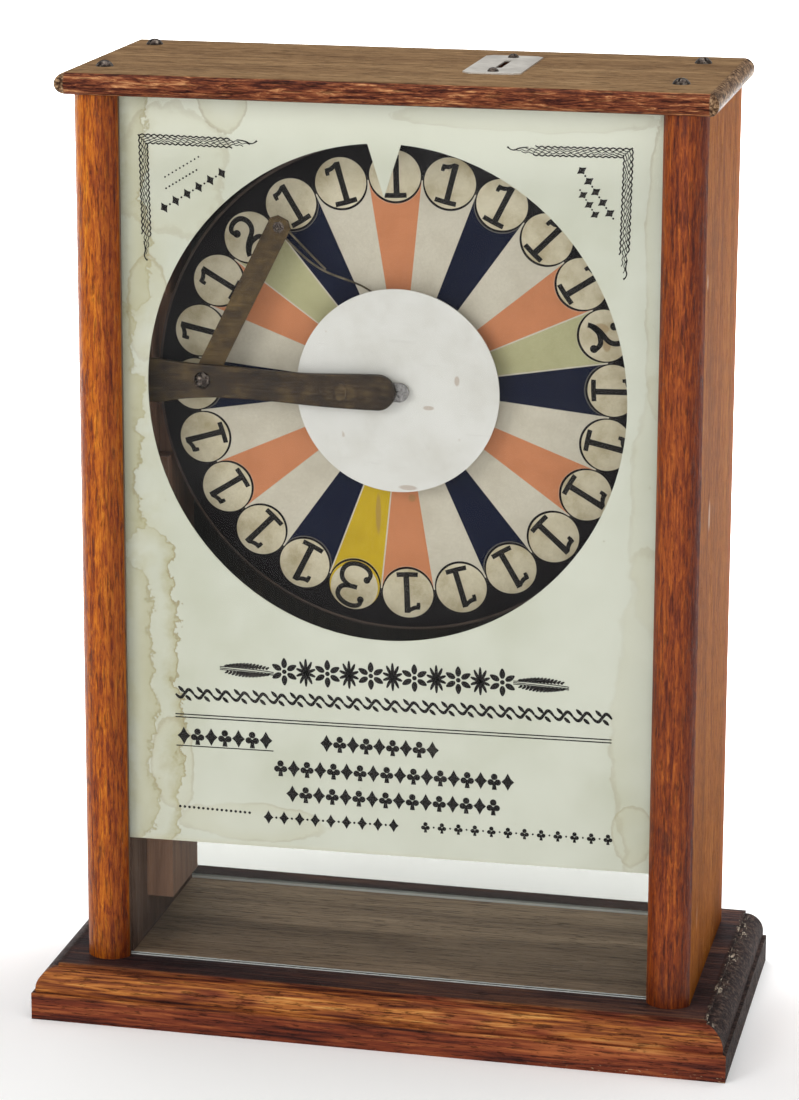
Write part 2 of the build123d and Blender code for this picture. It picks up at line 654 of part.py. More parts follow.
# the wire: doubled back round the pivot, then one long strand that drops between two click pins
loop_radius = pivot_radius + 0.06 + wire_radius
tip_angle = click_phase - 360 / click_count / 2
tip_x, tip_z = on_wheel(click_circle - 0.3, tip_angle)
tip_y = (disc_back + face_y) / 2
edge_x, edge_z = on_wheel(hub_disc_radius + 1.6, tip_angle - 7.0)
bend_run, bend_back = 27.9, 2.2
bend_angle = radians(-44.3)
dx, dz = cos(bend_angle), sin(bend_angle)
bend_x, bend_y, bend_z = strip_top_x + bend_run * dx, loop_y + bend_back, strip_top_z + bend_run * dz
twin = 2 * wire_radius + 0.06
near = (strip_top_x - dz * loop_radius, loop_y, strip_top_z + dx * loop_radius)
far = (strip_top_x - dx * loop_radius, loop_y, strip_top_z - dz * loop_radius)
leave = (strip_top_x + dz * loop_radius, loop_y, strip_top_z - dx * loop_radius)
wire_path = Wire([
    Spline((bend_x - dz * twin, bend_y, bend_z + dx * twin), near, tangents=((-dx, -0.12, -dz), (-dx, 0, -dz))),
    ThreePointArc(near, far, leave),
    Spline(leave, (bend_x, bend_y, bend_z), (edge_x, tip_y - 0.6, edge_z), (tip_x, tip_y, tip_z),
           tangents=((dx, 0, dz), (0.85, 0.05, -0.5))),
])
click_wire = sweep(Plane(origin=wire_path @ 0, z_dir=wire_path % 0) * Circle(wire_radius), path=wire_path)
save("click_wire", click_wire)

# ---------------------------------------------------------------- rear support
cleat_top = ceiling_z - 26.0
notch_half = sqrt(wheel_radius ** 2 - (half_inside - cleat_width) ** 2) + 6.0
notch_floor = wheel_radius + 2.4
cleat_screws = []
strap_screw_radius = 1.6
strap_screw_length = 16.0
strap_screw_x = half_inside - cleat_width / 2
strap_screw_heights = [axis_height - 4.2, axis_height + 4.2]
strap = block(-half_inside + 0.2, half_inside - 0.2, strap_y, strap_back,
              axis_height - strap_half_height, axis_height + strap_half_height)
strap_screws = []
for side in (-1, 1):
    inner, proud = side * half_inside, side * (half_inside - cleat_width)
    xs = sorted([inner, proud])
    cleat = block(xs[0], xs[1], cleat_y, strap_y, cleat_bottoms[side], cleat_top)
    ns = sorted([side * notch_floor, proud - side])
    cleat -= block(ns[0], ns[1], cleat_y - 1, wheel_back + 4.0, axis_height - notch_half, axis_height + notch_half)
    for z in cleat_screw_heights[side]:
        place = Pos(proud, cleat_screw_y, z) * Rot(0, -90 * side, 0)
        cleat -= place * countersink(cleat_screw_head, cleat_screw_depth, cleat_screw_radius, cleat_width + 1)
        cleat_screws.append(place * flat_head_screw(
            cleat_screw_head, cleat_screw_depth, cleat_screw_radius, cleat_screw_length, 11 * z))
    for z in strap_screw_heights:
        x = side * strap_screw_x
        depth = strap_screw_length - strap_thickness + hole_spare
        hole = rod_y(x, z, strap_screw_radius + running_clearance, strap_y - depth, strap_back + 1)
        cleat -= hole
        strap -= hole
        strap_screws.append(Pos(x, strap_back, z) * Rot(-90, 0, 0) * round_head_screw(
            3.0, 1.9, strap_screw_radius, strap_screw_length, 17 * z))
    save(("left" if side < 0 else "right") + "_cleat", cleat)
save("cleat_screws", *cleat_screws)
strap -= rod_y(0, axis_height, 4.0, strap_y - 1, strap_back + 1)
bush = rod_y(0, axis_height, 4.0, strap_y, bush_back) + rod_y(0, axis_height, 6.0, bush_front, strap_y)
bush -= rod_y(0, axis_height, axle_radius + running_clearance, bush_front - 1, bush_back + 1)
save("rear_strap", strap)
save("rear_bush", bush)
save("strap_screws", *strap_screws)

# ---------------------------------------------------------------- rear turn buttons
# Four small tin buttons hold the rear pane and the board above it in their rabbet; the lower two
# bear on both at the seam. Each turns on its own screw.
button_screws = []
for side, name in ((-1, "left"), (1, "right")):
    for z, level in zip(button_heights, ("lower", "upper")):
        x = side * side_centre
        reach = -side * (button_reach - button_half_width)
        tail_end = side * (button_tail - button_half_width)
        arcs = [
            Line((tail_end, -button_half_width), (reach, -button_half_width)),
            ThreePointArc((reach, -button_half_width), (-side * button_reach, 0), (reach, button_half_width)),
            Line((reach, button_half_width), (tail_end, button_half_width)),
            ThreePointArc((tail_end, button_half_width), (side * button_tail, 0), (tail_end, -button_half_width)),
        ]
        button = Pos(x, button_back, z) * Rot(90, 0, 0) * extrude(make_face(arcs), button_thickness)
        button -= rod_y(x, z, button_screw_radius + running_clearance, button_y - 1, button_back + 1)
        save("turn_button_" + name + "_" + level, button)
        button_screws.append(Pos(x, button_back + moving_gap, z) * Rot(-90, 0, 0) * round_head_screw(
            3.1, 1.9, button_screw_radius, button_screw_length, 13 * z + 40 * side))
save("turn_button_screws", *button_screws)

print(len(nodes), "nodes")
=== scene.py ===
import math
import bpy
from mathutils import Matrix, Vector


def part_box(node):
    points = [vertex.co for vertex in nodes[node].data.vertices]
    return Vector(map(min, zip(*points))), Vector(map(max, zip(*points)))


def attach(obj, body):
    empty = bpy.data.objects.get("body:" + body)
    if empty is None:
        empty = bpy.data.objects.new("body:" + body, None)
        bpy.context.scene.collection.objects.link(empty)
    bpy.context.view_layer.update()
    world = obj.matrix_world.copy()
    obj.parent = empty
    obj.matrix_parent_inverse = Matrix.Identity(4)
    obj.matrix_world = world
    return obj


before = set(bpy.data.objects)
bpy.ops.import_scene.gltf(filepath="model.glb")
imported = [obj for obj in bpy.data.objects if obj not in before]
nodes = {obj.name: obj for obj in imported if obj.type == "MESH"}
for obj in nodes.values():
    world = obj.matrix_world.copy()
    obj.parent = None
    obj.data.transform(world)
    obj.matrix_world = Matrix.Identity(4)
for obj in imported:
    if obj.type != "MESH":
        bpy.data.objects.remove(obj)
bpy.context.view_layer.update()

# ---------------------------------------------------------------- the studio
# A white sweep under soft light: a large lamp on the left, weaker ones in front and on the right, one
# overhead and one on the sweep. A long lens stands above the middle of the case, towards its right side.
camera_yaw, camera_pitch, camera_roll = 0.2227, 0.2277, -0.0024
camera_data = bpy.data.cameras.new("camera")
camera_data.lens = 116.4
camera_data.sensor_width = 36.0
camera_data.shift_x = 0.0125
camera_data.shift_y = -0.13
camera = bpy.data.objects.new("camera", camera_data)
camera.rotation_mode = "XYZ"
camera.matrix_world = (
    Matrix.Translation((0.3356, -1.5293, 0.6431))
    @ Matrix.Rotation(camera_yaw, 4, "Z")
    @ Matrix.Rotation(math.pi / 2 - camera_pitch, 4, "X")
    @ Matrix.Rotation(-camera_roll, 4, "Z")
)
bpy.context.scene.collection.objects.link(camera)
bpy.context.scene.camera = camera


def lamp(name, place, aim, size, watts, colour):
    """A square soft lamp turned towards a point."""
    data = bpy.data.lights.new(name, "AREA")
    data.shape = "SQUARE"
    data.size = size
    data.energy = watts
    data.color = colour
    made = bpy.data.objects.new(name, data)
    made.location = place
    made.rotation_euler = (Vector(aim) - Vector(place)).to_track_quat("-Z", "Y").to_euler()
    bpy.context.scene.collection.objects.link(made)


lamp("key_lamp", (-1.2, -1.8, 1.2), (0.0, 0.0, 0.24), 1.0, 17.0, (1.0, 0.995, 0.985))
lamp("front_lamp", (0.2, -2.3, 0.45), (0.0, 0.0, 0.25), 1.4, 9.0, (1.0, 1.0, 1.0))
lamp("side_lamp", (1.9, -0.9, 0.8), (0.0, 0.0, 0.25), 1.2, 7.0, (1.0, 0.98, 0.95))
lamp("top_lamp", (0.1, 0.2, 2.3), (0.1, 0.1, 0.0), 2.4, 30.0, (1.0, 1.0, 1.0))
lamp("sweep_lamp", (-0.2, 1.3, 2.0), (-0.3, 4.2, 0.0), 2.6, 500.0, (1.0, 1.0, 1.0))

bpy.ops.object.select_all(action="DESELECT")
bpy.ops.mesh.primitive_plane_add(size=24.0, location=(0, 4.0, 0))
floor = bpy.context.object
floor.name = "studio_floor"
floor_paint = bpy.data.materials.new("white sweep")
floor_paint.use_nodes = True
for socket, value in (("Base Color", (0.96, 0.96, 0.96, 1)), ("Roughness", 0.9), ("Specular IOR Level", 0.0)):
    floor_paint.node_tree.nodes["Principled BSDF"].inputs[socket].default_value = value
floor.data.materials.append(floor_paint)

room = bpy.data.worlds.new("room")
room.use_nodes = True
room.node_tree.nodes["Background"].inputs["Color"].default_value = (1, 1, 1, 1)
room.node_tree.nodes["Background"].inputs["Strength"].default_value = 0.44
bpy.context.scene.world = room
bpy.context.scene.view_settings.view_transform = "Standard"

# ---------------------------------------------------------------- base board
# One oak board, moulded along the front and both ends, stained nearly black. Its varnish is rubbed through to
# orange in streaks along the grain, the upper roll of the moulding is lightened as a painted highlight, and
# the end grain has gone grey and chipped.
base_low, base_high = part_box("base_board")
case_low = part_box("left_side_board")[0]
half_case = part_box("right_side_board")[1].x
inner_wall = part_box("right_side_board")[0].x + 0.005   # the groove for the glass is 5 mm deep
front_line = case_low.y
pane_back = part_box("rear_glass")[1].y
moulding = 0.0125                                      # how far the moulding reaches in from the edge


def tint(red, green, blue):
    """A colour given from 0 to 255, for the shader."""
    return tuple((v / 255 / 12.92 if v <= 10 else ((v / 255 + 0.055) / 1.055) ** 2.4)
                 for v in (red, green, blue)) + (1.0,)


def fresh(name):
    """A new finish with one shader: the finish, its tree and the shader."""
    made = bpy.data.materials.new(name)
    made.use_nodes = True
    return made, made.node_tree, made.node_tree.nodes["Principled BSDF"]


def put(tree, kind, sockets=(), **settings):
    """One node, with its settings made and its sockets filled or joined."""
    made = tree.nodes.new("ShaderNode" + kind)
    for key, value in settings.items():
        setattr(made, key, value)
    for socket, value in dict(sockets).items():
        if isinstance(value, bpy.types.NodeSocket):
            tree.links.new(value, made.inputs[socket])
        else:
            made.inputs[socket].default_value = value
    return made


def spot_in(tree, scale=(1, 1, 1), shift=(0, 0, 0), turn=(0, 0, 0)):
    """Where a point lies on the object, in metres, stretched by scale and then moved by shift."""
    here = put(tree, "TexCoord").outputs["Object"]
    return put(tree, "Mapping", {0: here, 1: shift, 2: turn, 3: scale}).outputs[0]


def axis_of(tree, letter):
    """One coordinate of the point, in metres."""
    return put(tree, "SeparateXYZ", {0: put(tree, "TexCoord").outputs["Object"]}).outputs[letter]


def cloud(tree, where, scale, detail=2.0, rough=0.5, bend=0.0):
    """A soft random field from 0 to 1."""
    return put(tree, "TexNoise", {"Vector": where, "Scale": scale, "Detail": detail,
                                  "Roughness": rough, "Distortion": bend}).outputs[0]


def sum_of(tree, operation, a, b=0.0, c=0.0):
    """Plain arithmetic on two or three values."""
    return put(tree, "Math", {0: a, 1: b, 2: c}, operation=operation).outputs[0]


def times(tree, a, b):
    """One value times another."""
    return sum_of(tree, "MULTIPLY", a, b)


def plus(tree, a, b):
    """One value plus another."""
    return sum_of(tree, "ADD", a, b)


def minus(tree, a, b):
    """One value less another."""
    return sum_of(tree, "SUBTRACT", a, b)


def mixed(tree, a, share_a, b, share_b):
    """Two fields added up, each by its share."""
    return plus(tree, times(tree, a, share_a), times(tree, b, share_b))


def from_spot(tree, place, spread):
    """How far a point lies from the middle of an oval spot, in the spot's own half widths."""
    scale = tuple(1 / reach if reach else 0 for reach in spread)
    shift = tuple(-at / reach if reach else 0 for at, reach in zip(place, spread))
    return put(tree, "VectorMath", {0: spot_in(tree, scale, shift)}, operation="LENGTH").outputs["Value"]


def rise(tree, value, low, high, start=0.0, end=1.0):
    """Goes smoothly from start to end while value goes from low to high."""
    return put(tree, "MapRange", {0: value, 1: low, 2: high, 3: start, 4: end},
               interpolation_type="SMOOTHSTEP").outputs[0]


def lay(tree, amount, under, over, way="MIX"):
    """One colour over another by an amount from 0 to 1."""
    mix = put(tree, "Mix", data_type="RGBA", blend_type=way)
    for socket, value in ((mix.inputs[0], amount), (mix.inputs[6], under), (mix.inputs[7], over)):
        if isinstance(value, bpy.types.NodeSocket):
            tree.links.new(value, socket)
        else:
            socket.default_value = value
    return mix.outputs[2]


def tones(tree, value, stops, stepped=False):
    """Colours along a value from 0 to 1: each stop is a place and a colour given from 0 to 255."""
    ramp = put(tree, "ValToRGB", {0: value})
    ramp.color_ramp.interpolation = "CONSTANT" if stepped else "LINEAR"
    while len(ramp.color_ramp.elements) < len(stops):
        ramp.color_ramp.elements.new(1.0)
    for element, (place, *colour) in zip(ramp.color_ramp.elements, stops):
        element.position = place
        element.color = tint(*colour)
    return ramp.outputs[0]


def wood_figure(tree, along, offset=0.0):
    """The figure of oak: broad streaks, fine fibres and short open pores, all running one way."""
    def stretch(across, length):
        return tuple(length if letter == along else across for letter in "XYZ")
    move = (offset, offset * 1.7, offset * 0.6)
    streaks = cloud(tree, spot_in(tree, stretch(60, 4.0), move), 1.0, 6.0, 0.66, 0.5)
    fibres = cloud(tree, spot_in(tree, stretch(700, 26), move), 1.0, 3.0, 0.62, 0.3)
    flecks = cloud(tree, spot_in(tree, stretch(820, 110), move), 1.0, 4.0, 0.75, 0.6)
    pores = rise(tree, cloud(tree, spot_in(tree, stretch(1000, 95), move), 1.0, 3.0, 0.7), 0.555, 0.66)
    return streaks, fibres, flecks, pores


def surface(tree, shader, colour, rough, height, depth, metal=0.0, shine=0.5):
    """Joins colour, roughness, shine and relief to the shader."""
    tree.links.new(colour, shader.inputs["Base Color"])
    if rough is not None:
        tree.links.new(rough, shader.inputs["Roughness"])
    shader.inputs["Metallic"].default_value = metal
    if isinstance(shine, bpy.types.NodeSocket):
        tree.links.new(shine, shader.inputs["Specular IOR Level"])
    else:
        shader.inputs["Specular IOR Level"].default_value = shine
    relief = put(tree, "Bump", {"Strength": 1.0, "Distance": depth, "Height": height})
    tree.links.new(relief.outputs[0], shader.inputs["Normal"])


def dress(finish, *names):
    """Gives CAD nodes their finish."""
    for name in names:
        piece = nodes[name]
        for slot in piece.material_slots:
            slot.material = finish
        if not piece.material_slots:
            piece.data.materials.append(finish)


base_oak, tree, shader = fresh("base oak, dark varnish rubbed through")
streaks, fibres, flecks, pores = wood_figure(tree, "X", 3.1)
x, y, z = (axis_of(tree, letter) for letter in "XYZ")
reach_x = sum_of(tree, "ABSOLUTE", x)
figure = mixed(tree, streaks, 0.62, fibres, 0.38)
flat_wood = tones(tree, figure, [(0.36, 16, 10, 13), (0.45, 36, 23, 25),
                                 (0.54, 60, 39, 37), (0.65, 104, 70, 54)])
worn_and_lit_wood = tones(tree, figure, [(0.38, 28, 14, 14), (0.44, 78, 36, 22), (0.49, 124, 66, 34),
                                 (0.55, 176, 108, 50), (0.63, 222, 168, 96)])
red_wood = tones(tree, figure, [(0.38, 22, 12, 14), (0.45, 62, 27, 22), (0.53, 114, 52, 32),
                                (0.64, 172, 98, 56)])
on_moulding = rise(tree, y, base_low.y + moulding, base_low.y + moulding - 0.004)
rub = cloud(tree, spot_in(tree, (11, 60, 60), (2.0, 0.3, 0.0)), 1.0, 3.0, 0.6)
# The upper roll of the moulding: varnish rubbed through in streaks, and lightened there as a painted
# highlight along the roll.
upper_roll_wear_and_highlight = times(tree, rise(tree, z, base_high.z - 0.0145, base_high.z - 0.0105),
                   rise(tree, rub, 0.38, 0.56))
colour = lay(tree, on_moulding, flat_wood, lay(tree, upper_roll_wear_and_highlight, red_wood, worn_and_lit_wood))
inside = times(tree, rise(tree, reach_x, inner_wall + 0.0006, inner_wall),
               rise(tree, y, front_line + 0.0095, front_line + 0.012))
inside = times(tree, inside, rise(tree, y, pane_back + 0.0004, pane_back))
floor_wood = tones(tree, figure, [(0.34, 104, 86, 70), (0.48, 144, 124, 102), (0.66, 182, 160, 134)])
colour = lay(tree, inside, colour, floor_wood)
end_grain = cloud(tree, spot_in(tree, (420, 420, 420)), 1.0, 4.0, 0.7)
end_wood = tones(tree, end_grain, [(0.36, 26, 20, 20), (0.5, 50, 39, 37), (0.64, 86, 68, 60)])
past_mitre = minus(tree, minus(tree, y, base_low.y), minus(tree, base_high.x, reach_x))
at_end = times(tree, rise(tree, past_mitre, 0.0, 0.0006),
               rise(tree, reach_x, base_high.x - moulding, base_high.x - moulding + 0.002))
on_end = times(tree, at_end, rise(tree, x, -0.05, 0.05, 0.55, 1.0))
colour = lay(tree, on_end, colour, end_wood)
ragged_x = plus(tree, x, times(tree, cloud(tree, spot_in(tree, (90, 90, 90)), 1.0, 3.0, 0.7), 0.008))
chip_band = times(tree, rise(tree, ragged_x, base_high.x - 0.0100, base_high.x - 0.0075),
                  rise(tree, ragged_x, base_high.x - 0.0005, base_high.x - 0.0050))
chip_spots = cloud(tree, spot_in(tree, (640, 260, 640)), 1.0, 3.0, 0.75, 0.6)
chip_groups = rise(tree, cloud(tree, spot_in(tree, (60, 60, 60), (3, 1, 0)), 1.0, 2.0, 0.6), 0.40, 0.58)
chips = times(tree, times(tree, chip_band, at_end),
              times(tree, rise(tree, chip_spots, 0.55, 0.62), chip_groups))
colour = lay(tree, times(tree, chips, 0.85), colour, tint(214, 200, 178))
nicks = rise(tree, cloud(tree, spot_in(tree, (300, 900, 900), (5, 0, 0)), 1.0, 3.0, 0.7), 0.60, 0.66)
foot_chips = times(tree, rise(tree, z, base_low.z + 0.0040, base_low.z + 0.0020), nicks)
foot_chips = times(tree, foot_chips, rise(tree, x, 0.060, 0.120))
colour = lay(tree, times(tree, foot_chips, 0.6), colour, tint(190, 158, 122))
colour = lay(tree, times(tree, pores, 0.5), colour, tint(20, 12, 12))
height = mixed(tree, fibres, 0.7, pores, -0.9)
height = plus(tree, height, times(tree, times(tree, end_grain, on_end), 1.6))
rough = plus(tree, rise(tree, streaks, 0.3, 0.7, 0.40, 0.55), times(tree, on_end, 0.2))
surface(tree, shader, colour, rough, height, 0.00045, shine=0.10)
dress(base_oak, "base_board")

# ---------------------------------------------------------------- side boards
# Two upright oak boards. Their front edges are rounded over and red with old varnish, the outer
# faces have faded to a lighter brown, and the inner faces were never finished.
edge_middle = half_case - 0.0085


def side_oak(name, offset, outer_shade, round_tones):
    """One side board's finish: the rounded front edge, its share of painted shade on the outer side (the rest
    is on the inner side), the outer face and the inner face."""
    finish, tree, shader = fresh(name)
    streaks, fibres, flecks, pores = wood_figure(tree, "Z", offset)
    x, y, z = (axis_of(tree, letter) for letter in "XYZ")
    reach_x = sum_of(tree, "ABSOLUTE", x)
    figure = mixed(tree, streaks, 0.5, fibres, 0.5)
    mottle = mixed(tree, figure, 0.5, flecks, 0.5)
    front = tones(tree, mottle, round_tones)
    outer_side = rise(tree, reach_x, edge_middle, half_case - 0.0015)
    inner_side = rise(tree, reach_x, edge_middle, half_case - 0.0165)
    shade = sum_of(tree, "MAXIMUM", times(tree, outer_side, outer_shade),
                   times(tree, inner_side, 1.0 - outer_shade))
    # Painted shade: the half of the rounded front edge that turns away from the key lamp is darkened.
    front = lay(tree, times(tree, shade, 0.62), front, tint(150, 104, 108), "MULTIPLY")
    knots = rise(tree, cloud(tree, spot_in(tree, (60, 60, 34), (offset, 0, 5)), 1.0, 4.0, 0.7), 0.60, 0.72)
    front = lay(tree, times(tree, knots, 0.6), front, tint(60, 26, 20))
    face = tones(tree, mottle, [(0.36, 82, 40, 6), (0.45, 118, 62, 10),
                                (0.54, 146, 84, 18), (0.66, 180, 118, 40)])
    rear_strip = rise(tree, y, pane_back - 0.016, pane_back - 0.004)
    face = lay(tree, times(tree, rear_strip, 0.5), face, tint(160, 88, 46))
    on_front = rise(tree, plus(tree, y, times(tree, flecks, 0.0012)),
                    front_line + 0.0072, front_line + 0.0060)
    colour = lay(tree, on_front, face, front)
    bare = tones(tree, figure, [(0.32, 78, 62, 54), (0.5, 112, 92, 80), (0.68, 140, 118, 102)])
    on_inner = times(tree, rise(tree, reach_x, inner_wall + 0.0008, inner_wall + 0.0002),
                     rise(tree, y, front_line + 0.0062, front_line + 0.0078))
    colour = lay(tree, on_inner, colour, bare)
    stain = rise(tree, cloud(tree, spot_in(tree, (14, 14, 5), (offset, 2, 1)), 1.0, 3.0, 0.6), 0.52, 0.70)
    colour = lay(tree, times(tree, stain, 0.3), colour, tint(120, 70, 50), "MULTIPLY")
    colour = lay(tree, times(tree, pores, 0.42), colour, tint(52, 24, 16))
    for place_y, place_z, wide, high, share in (
        (-0.020, 0.243, 0.0042, 0.0085, 0.5), (-0.043, 0.352, 0.0026, 0.0050, 0.45),
        (-0.030, 0.060, 0.0012, 0.0080, 0.35),
    ):
        reach = from_spot(tree, (0, place_y, place_z), (0, wide, high))
        scuff = rise(tree, plus(tree, reach, times(tree, flecks, 1.8)), 1.85, 1.25)
        scuff = times(tree, scuff, rise(tree, x, half_case - 0.004, half_case - 0.001))
        colour = lay(tree, times(tree, scuff, share), colour, tint(206, 186, 156))
    # Painted shade: darker towards the foot, where the board meets the base.
    foot = rise(tree, z, case_low.z + 0.030, case_low.z)
    colour = lay(tree, times(tree, foot, 0.4), colour, tint(90, 50, 40), "MULTIPLY")
    height = mixed(tree, fibres, 0.7, pores, -0.9)
    rough = rise(tree, on_front, 0.0, 1.0, 0.72, 0.40)
    surface(tree, shader, colour, rough, height, 0.00028, shine=rise(tree, on_front, 0.0, 1.0, 0.02, 0.22))
    return finish


# The right board's rounded edge takes darker, redder tones than the left's: the redder hue is the wood's own,
# the darker level is painted shade.
dress(side_oak("left side oak", 0.7, 0.0, [(0.37, 76, 28, 8), (0.45, 138, 58, 10),
                                           (0.53, 186, 98, 14), (0.64, 224, 142, 36)]), "left_side_board")
dress(side_oak("right side oak", 5.3, 1.0, [(0.37, 52, 16, 8), (0.45, 98, 36, 12),
                                            (0.53, 138, 62, 16), (0.64, 184, 100, 32)]), "right_side_board")

# ---------------------------------------------------------------- top board
# An oak board with rounded front and end edges, screwed down. Its flat face has gone dull and
# grey-brown, while the rounded front edge keeps its red varnish and the end grain is pitted.
top_low, top_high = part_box("top_board")
top_oak, tree, shader = fresh("top oak, dulled above")
streaks, fibres, flecks, pores = wood_figure(tree, "X", 8.4)
x, y, z = (axis_of(tree, letter) for letter in "XYZ")
reach_x = sum_of(tree, "ABSOLUTE", x)
figure = mixed(tree, streaks, 0.5, fibres, 0.5)
mottle = mixed(tree, figure, 0.55, flecks, 0.45)
dull = tones(tree, mixed(tree, figure, 0.6, flecks, 0.4),
             [(0.36, 84, 58, 38), (0.45, 118, 90, 62), (0.54, 144, 114, 80), (0.66, 176, 146, 108)])
edge = tones(tree, mottle, [(0.40, 36, 18, 18), (0.46, 80, 40, 30),
                            (0.52, 130, 72, 46), (0.60, 204, 148, 100)])
end_grain = cloud(tree, spot_in(tree, (480, 480, 480)), 1.0, 4.0, 0.72)
pitted = tones(tree, end_grain, [(0.38, 46, 32, 24), (0.48, 100, 74, 54), (0.60, 178, 146, 112)])
colour = lay(tree, rise(tree, z, top_high.z - 0.00045, top_high.z - 0.00015), edge, dull)
on_end = rise(tree, reach_x, top_high.x - 0.0046, top_high.x - 0.0038)
colour = lay(tree, on_end, colour, pitted)
# Painted shade: the lowest half millimetre of the board, along its underside edge, is darkened.
under = rise(tree, z, top_low.z + 0.0005, top_low.z + 0.0001)
colour = lay(tree, times(tree, under, 0.6), colour, tint(70, 40, 28), "MULTIPLY")
colour = lay(tree, times(tree, pores, 0.5), colour, tint(52, 34, 24))
height = mixed(tree, fibres, 0.8, pores, -0.9)
height = plus(tree, height, times(tree, times(tree, end_grain, on_end), 1.8))
rough = rise(tree, z, top_high.z - 0.001, top_high.z - 0.0001, 0.45, 0.7)
surface(tree, shader, colour, rough, height, 0.0004, shine=0.04)
dress(top_oak, "top_board")

# ---------------------------------------------------------------- slot plate, chute and their fastenings
# Tinned sheet iron: a clipped plate round the coin slot above, a folded chute nailed below it. The same
# sheet makes the four turn buttons at the back. All the screws and tacks are browned iron.
tin, tree, shader = fresh("tinned sheet")
scuffs = cloud(tree, spot_in(tree, (260, 900, 260), (0, 0, 0), (0, 0, 0.5)), 1.0, 4.0, 0.65)
patina = cloud(tree, spot_in(tree), 70.0, 4.0, 0.6)
colour = tones(tree, mixed(tree, scuffs, 0.5, patina, 0.5),
               [(0.32, 176, 170, 160), (0.5, 202, 197, 188), (0.68, 222, 218, 210)])
surface(tree, shader, colour, rise(tree, patina, 0.3, 0.7, 0.36, 0.52), scuffs, 0.00006, 0.55)
dress(tin, "slot_plate", "coin_chute", "turn_button_left_lower", "turn_button_left_upper",
      "turn_button_right_lower", "turn_button_right_upper")

dark_iron, tree, shader = fresh("screw heads, browned iron")
grime = cloud(tree, spot_in(tree), 520.0, 4.0, 0.6)
colour = tones(tree, grime, [(0.34, 44, 37, 34), (0.5, 76, 67, 61), (0.68, 130, 120, 110)])
surface(tree, shader, colour, rise(tree, grime, 0.3, 0.7, 0.16, 0.34), grime, 0.00005, 0.9)
dress(dark_iron, "top_screws", "slot_plate_screws", "chute_tacks", "base_screws", "cleat_screws",
      "strap_screws", "turn_button_screws", "arm_screws", "strip_screw", "strip_rivet", "collar_set_screw",
      "rear_strap")

# ---------------------------------------------------------------- panes
# Old clear sheet glass, front and rear, standing on the base in grooves and a rabbet. The lower
# edges are painted pale as a painted highlight, and the front pane carries a faint film of dust.
def pane_finish(name, pane, dust, highlight_height, colour):
    """Clear glass of a faint colour, with dust and a painted highlight along the lower edge."""
    low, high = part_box(pane)
    finish, tree, shader = fresh(name)
    z = axis_of(tree, "Z")
    nick = cloud(tree, spot_in(tree, (420, 420, 420)), 1.0, 2.0, 0.6)
    edge_line = plus(tree, z, times(tree, nick, 0.0004))
    # Painted highlight: a pale opaque band along the pane's lower edge.
    painted_edge_highlight = rise(tree, edge_line, low.z + highlight_height, low.z + highlight_height - 0.0003)
    smear = cloud(tree, spot_in(tree, (9, 9, 30)), 1.0, 3.0, 0.6)
    shader.inputs["Base Color"].default_value = tint(222, 226, 222)
    shader.inputs["Roughness"].default_value = 0.06
    shader.inputs["IOR"].default_value = 1.5
    clear = put(tree, "BsdfTransparent", {"Color": tint(*colour)}).outputs[0]
    gloss = put(tree, "BsdfGlossy", {"Roughness": 0.03}).outputs[0]
    facing = put(tree, "Fresnel", {"IOR": 1.45}).outputs[0]
    bare = put(tree, "MixShader", {0: times(tree, facing, 0.10), 1: clear, 2: gloss}).outputs[0]
    film = rise(tree, smear, 0.35, 0.75, dust * 0.4, dust)
    dust_and_edge_highlight = sum_of(tree, "MAXIMUM", film, times(tree, painted_edge_highlight, 0.92))
    both = put(tree, "MixShader", {0: dust_and_edge_highlight, 1: bare, 2: shader.outputs[0]}).outputs[0]
    tree.links.new(both, tree.nodes["Material Output"].inputs[0])
    return finish


dress(pane_finish("front pane glass", "front_glass", 0.006, 0.0008, (253, 253, 253)), "front_glass")
dress(pane_finish("rear pane glass", "rear_glass", 0.02, 0.0016, (216, 217, 214)), "rear_glass")

# ---------------------------------------------------------------- sign card
# Heavy paper, printed in one colour and gone pale green-cream. Water has run down it and dried with
# brown tide lines along its left edge, at the top, along the bottom and down the right side.
card_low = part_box("sign_card")[0]
sign_paper, tree, shader = fresh("sign paper, water stained")
fibre = cloud(tree, spot_in(tree, (700, 700, 700)), 1.0, 4.0, 0.7)
blotch = cloud(tree, spot_in(tree, (16, 16, 16)), 1.0, 4.0, 0.6)
wander = cloud(tree, spot_in(tree, (46, 46, 46)), 1.0, 5.0, 0.66)
colour = tones(tree, blotch, [(0.32, 213, 216, 201), (0.5, 207, 210, 194), (0.7, 197, 200, 181)])
# Painted light: the upper part of the card is lightened, against the shade under the top board.
painted_top_light = rise(tree, axis_of(tree, "Z"), 0.385, 0.425)
colour = lay(tree, times(tree, painted_top_light, 0.8), colour, tint(236, 239, 221))


def tide(tree, colour, x, z, wide, high, amount, ragged=0.9):
    """A dried pool of water: a faint tan inside and a soft darker line where it stopped."""
    reach = from_spot(tree, (x, 0, z), (wide, 0, high))
    reach = plus(tree, reach, sum_of(tree, "MULTIPLY_ADD", wander, ragged, -0.5 * ragged))
    inner = times(tree, rise(tree, reach, 1.0, 0.9), rise(tree, reach, 0.2, 1.0, 0.3, 1.0))
    within = times(tree, inner, 0.34 * amount)
    line = times(tree, rise(tree, reach, 0.86, 0.98), rise(tree, reach, 1.03, 0.985))
    line = times(tree, line, rise(tree, blotch, 0.36, 0.62, 0.2, 1.0))
    colour = lay(tree, within, colour, tint(190, 184, 146))
    return lay(tree, times(tree, line, 0.62 * amount), colour, tint(160, 146, 108))


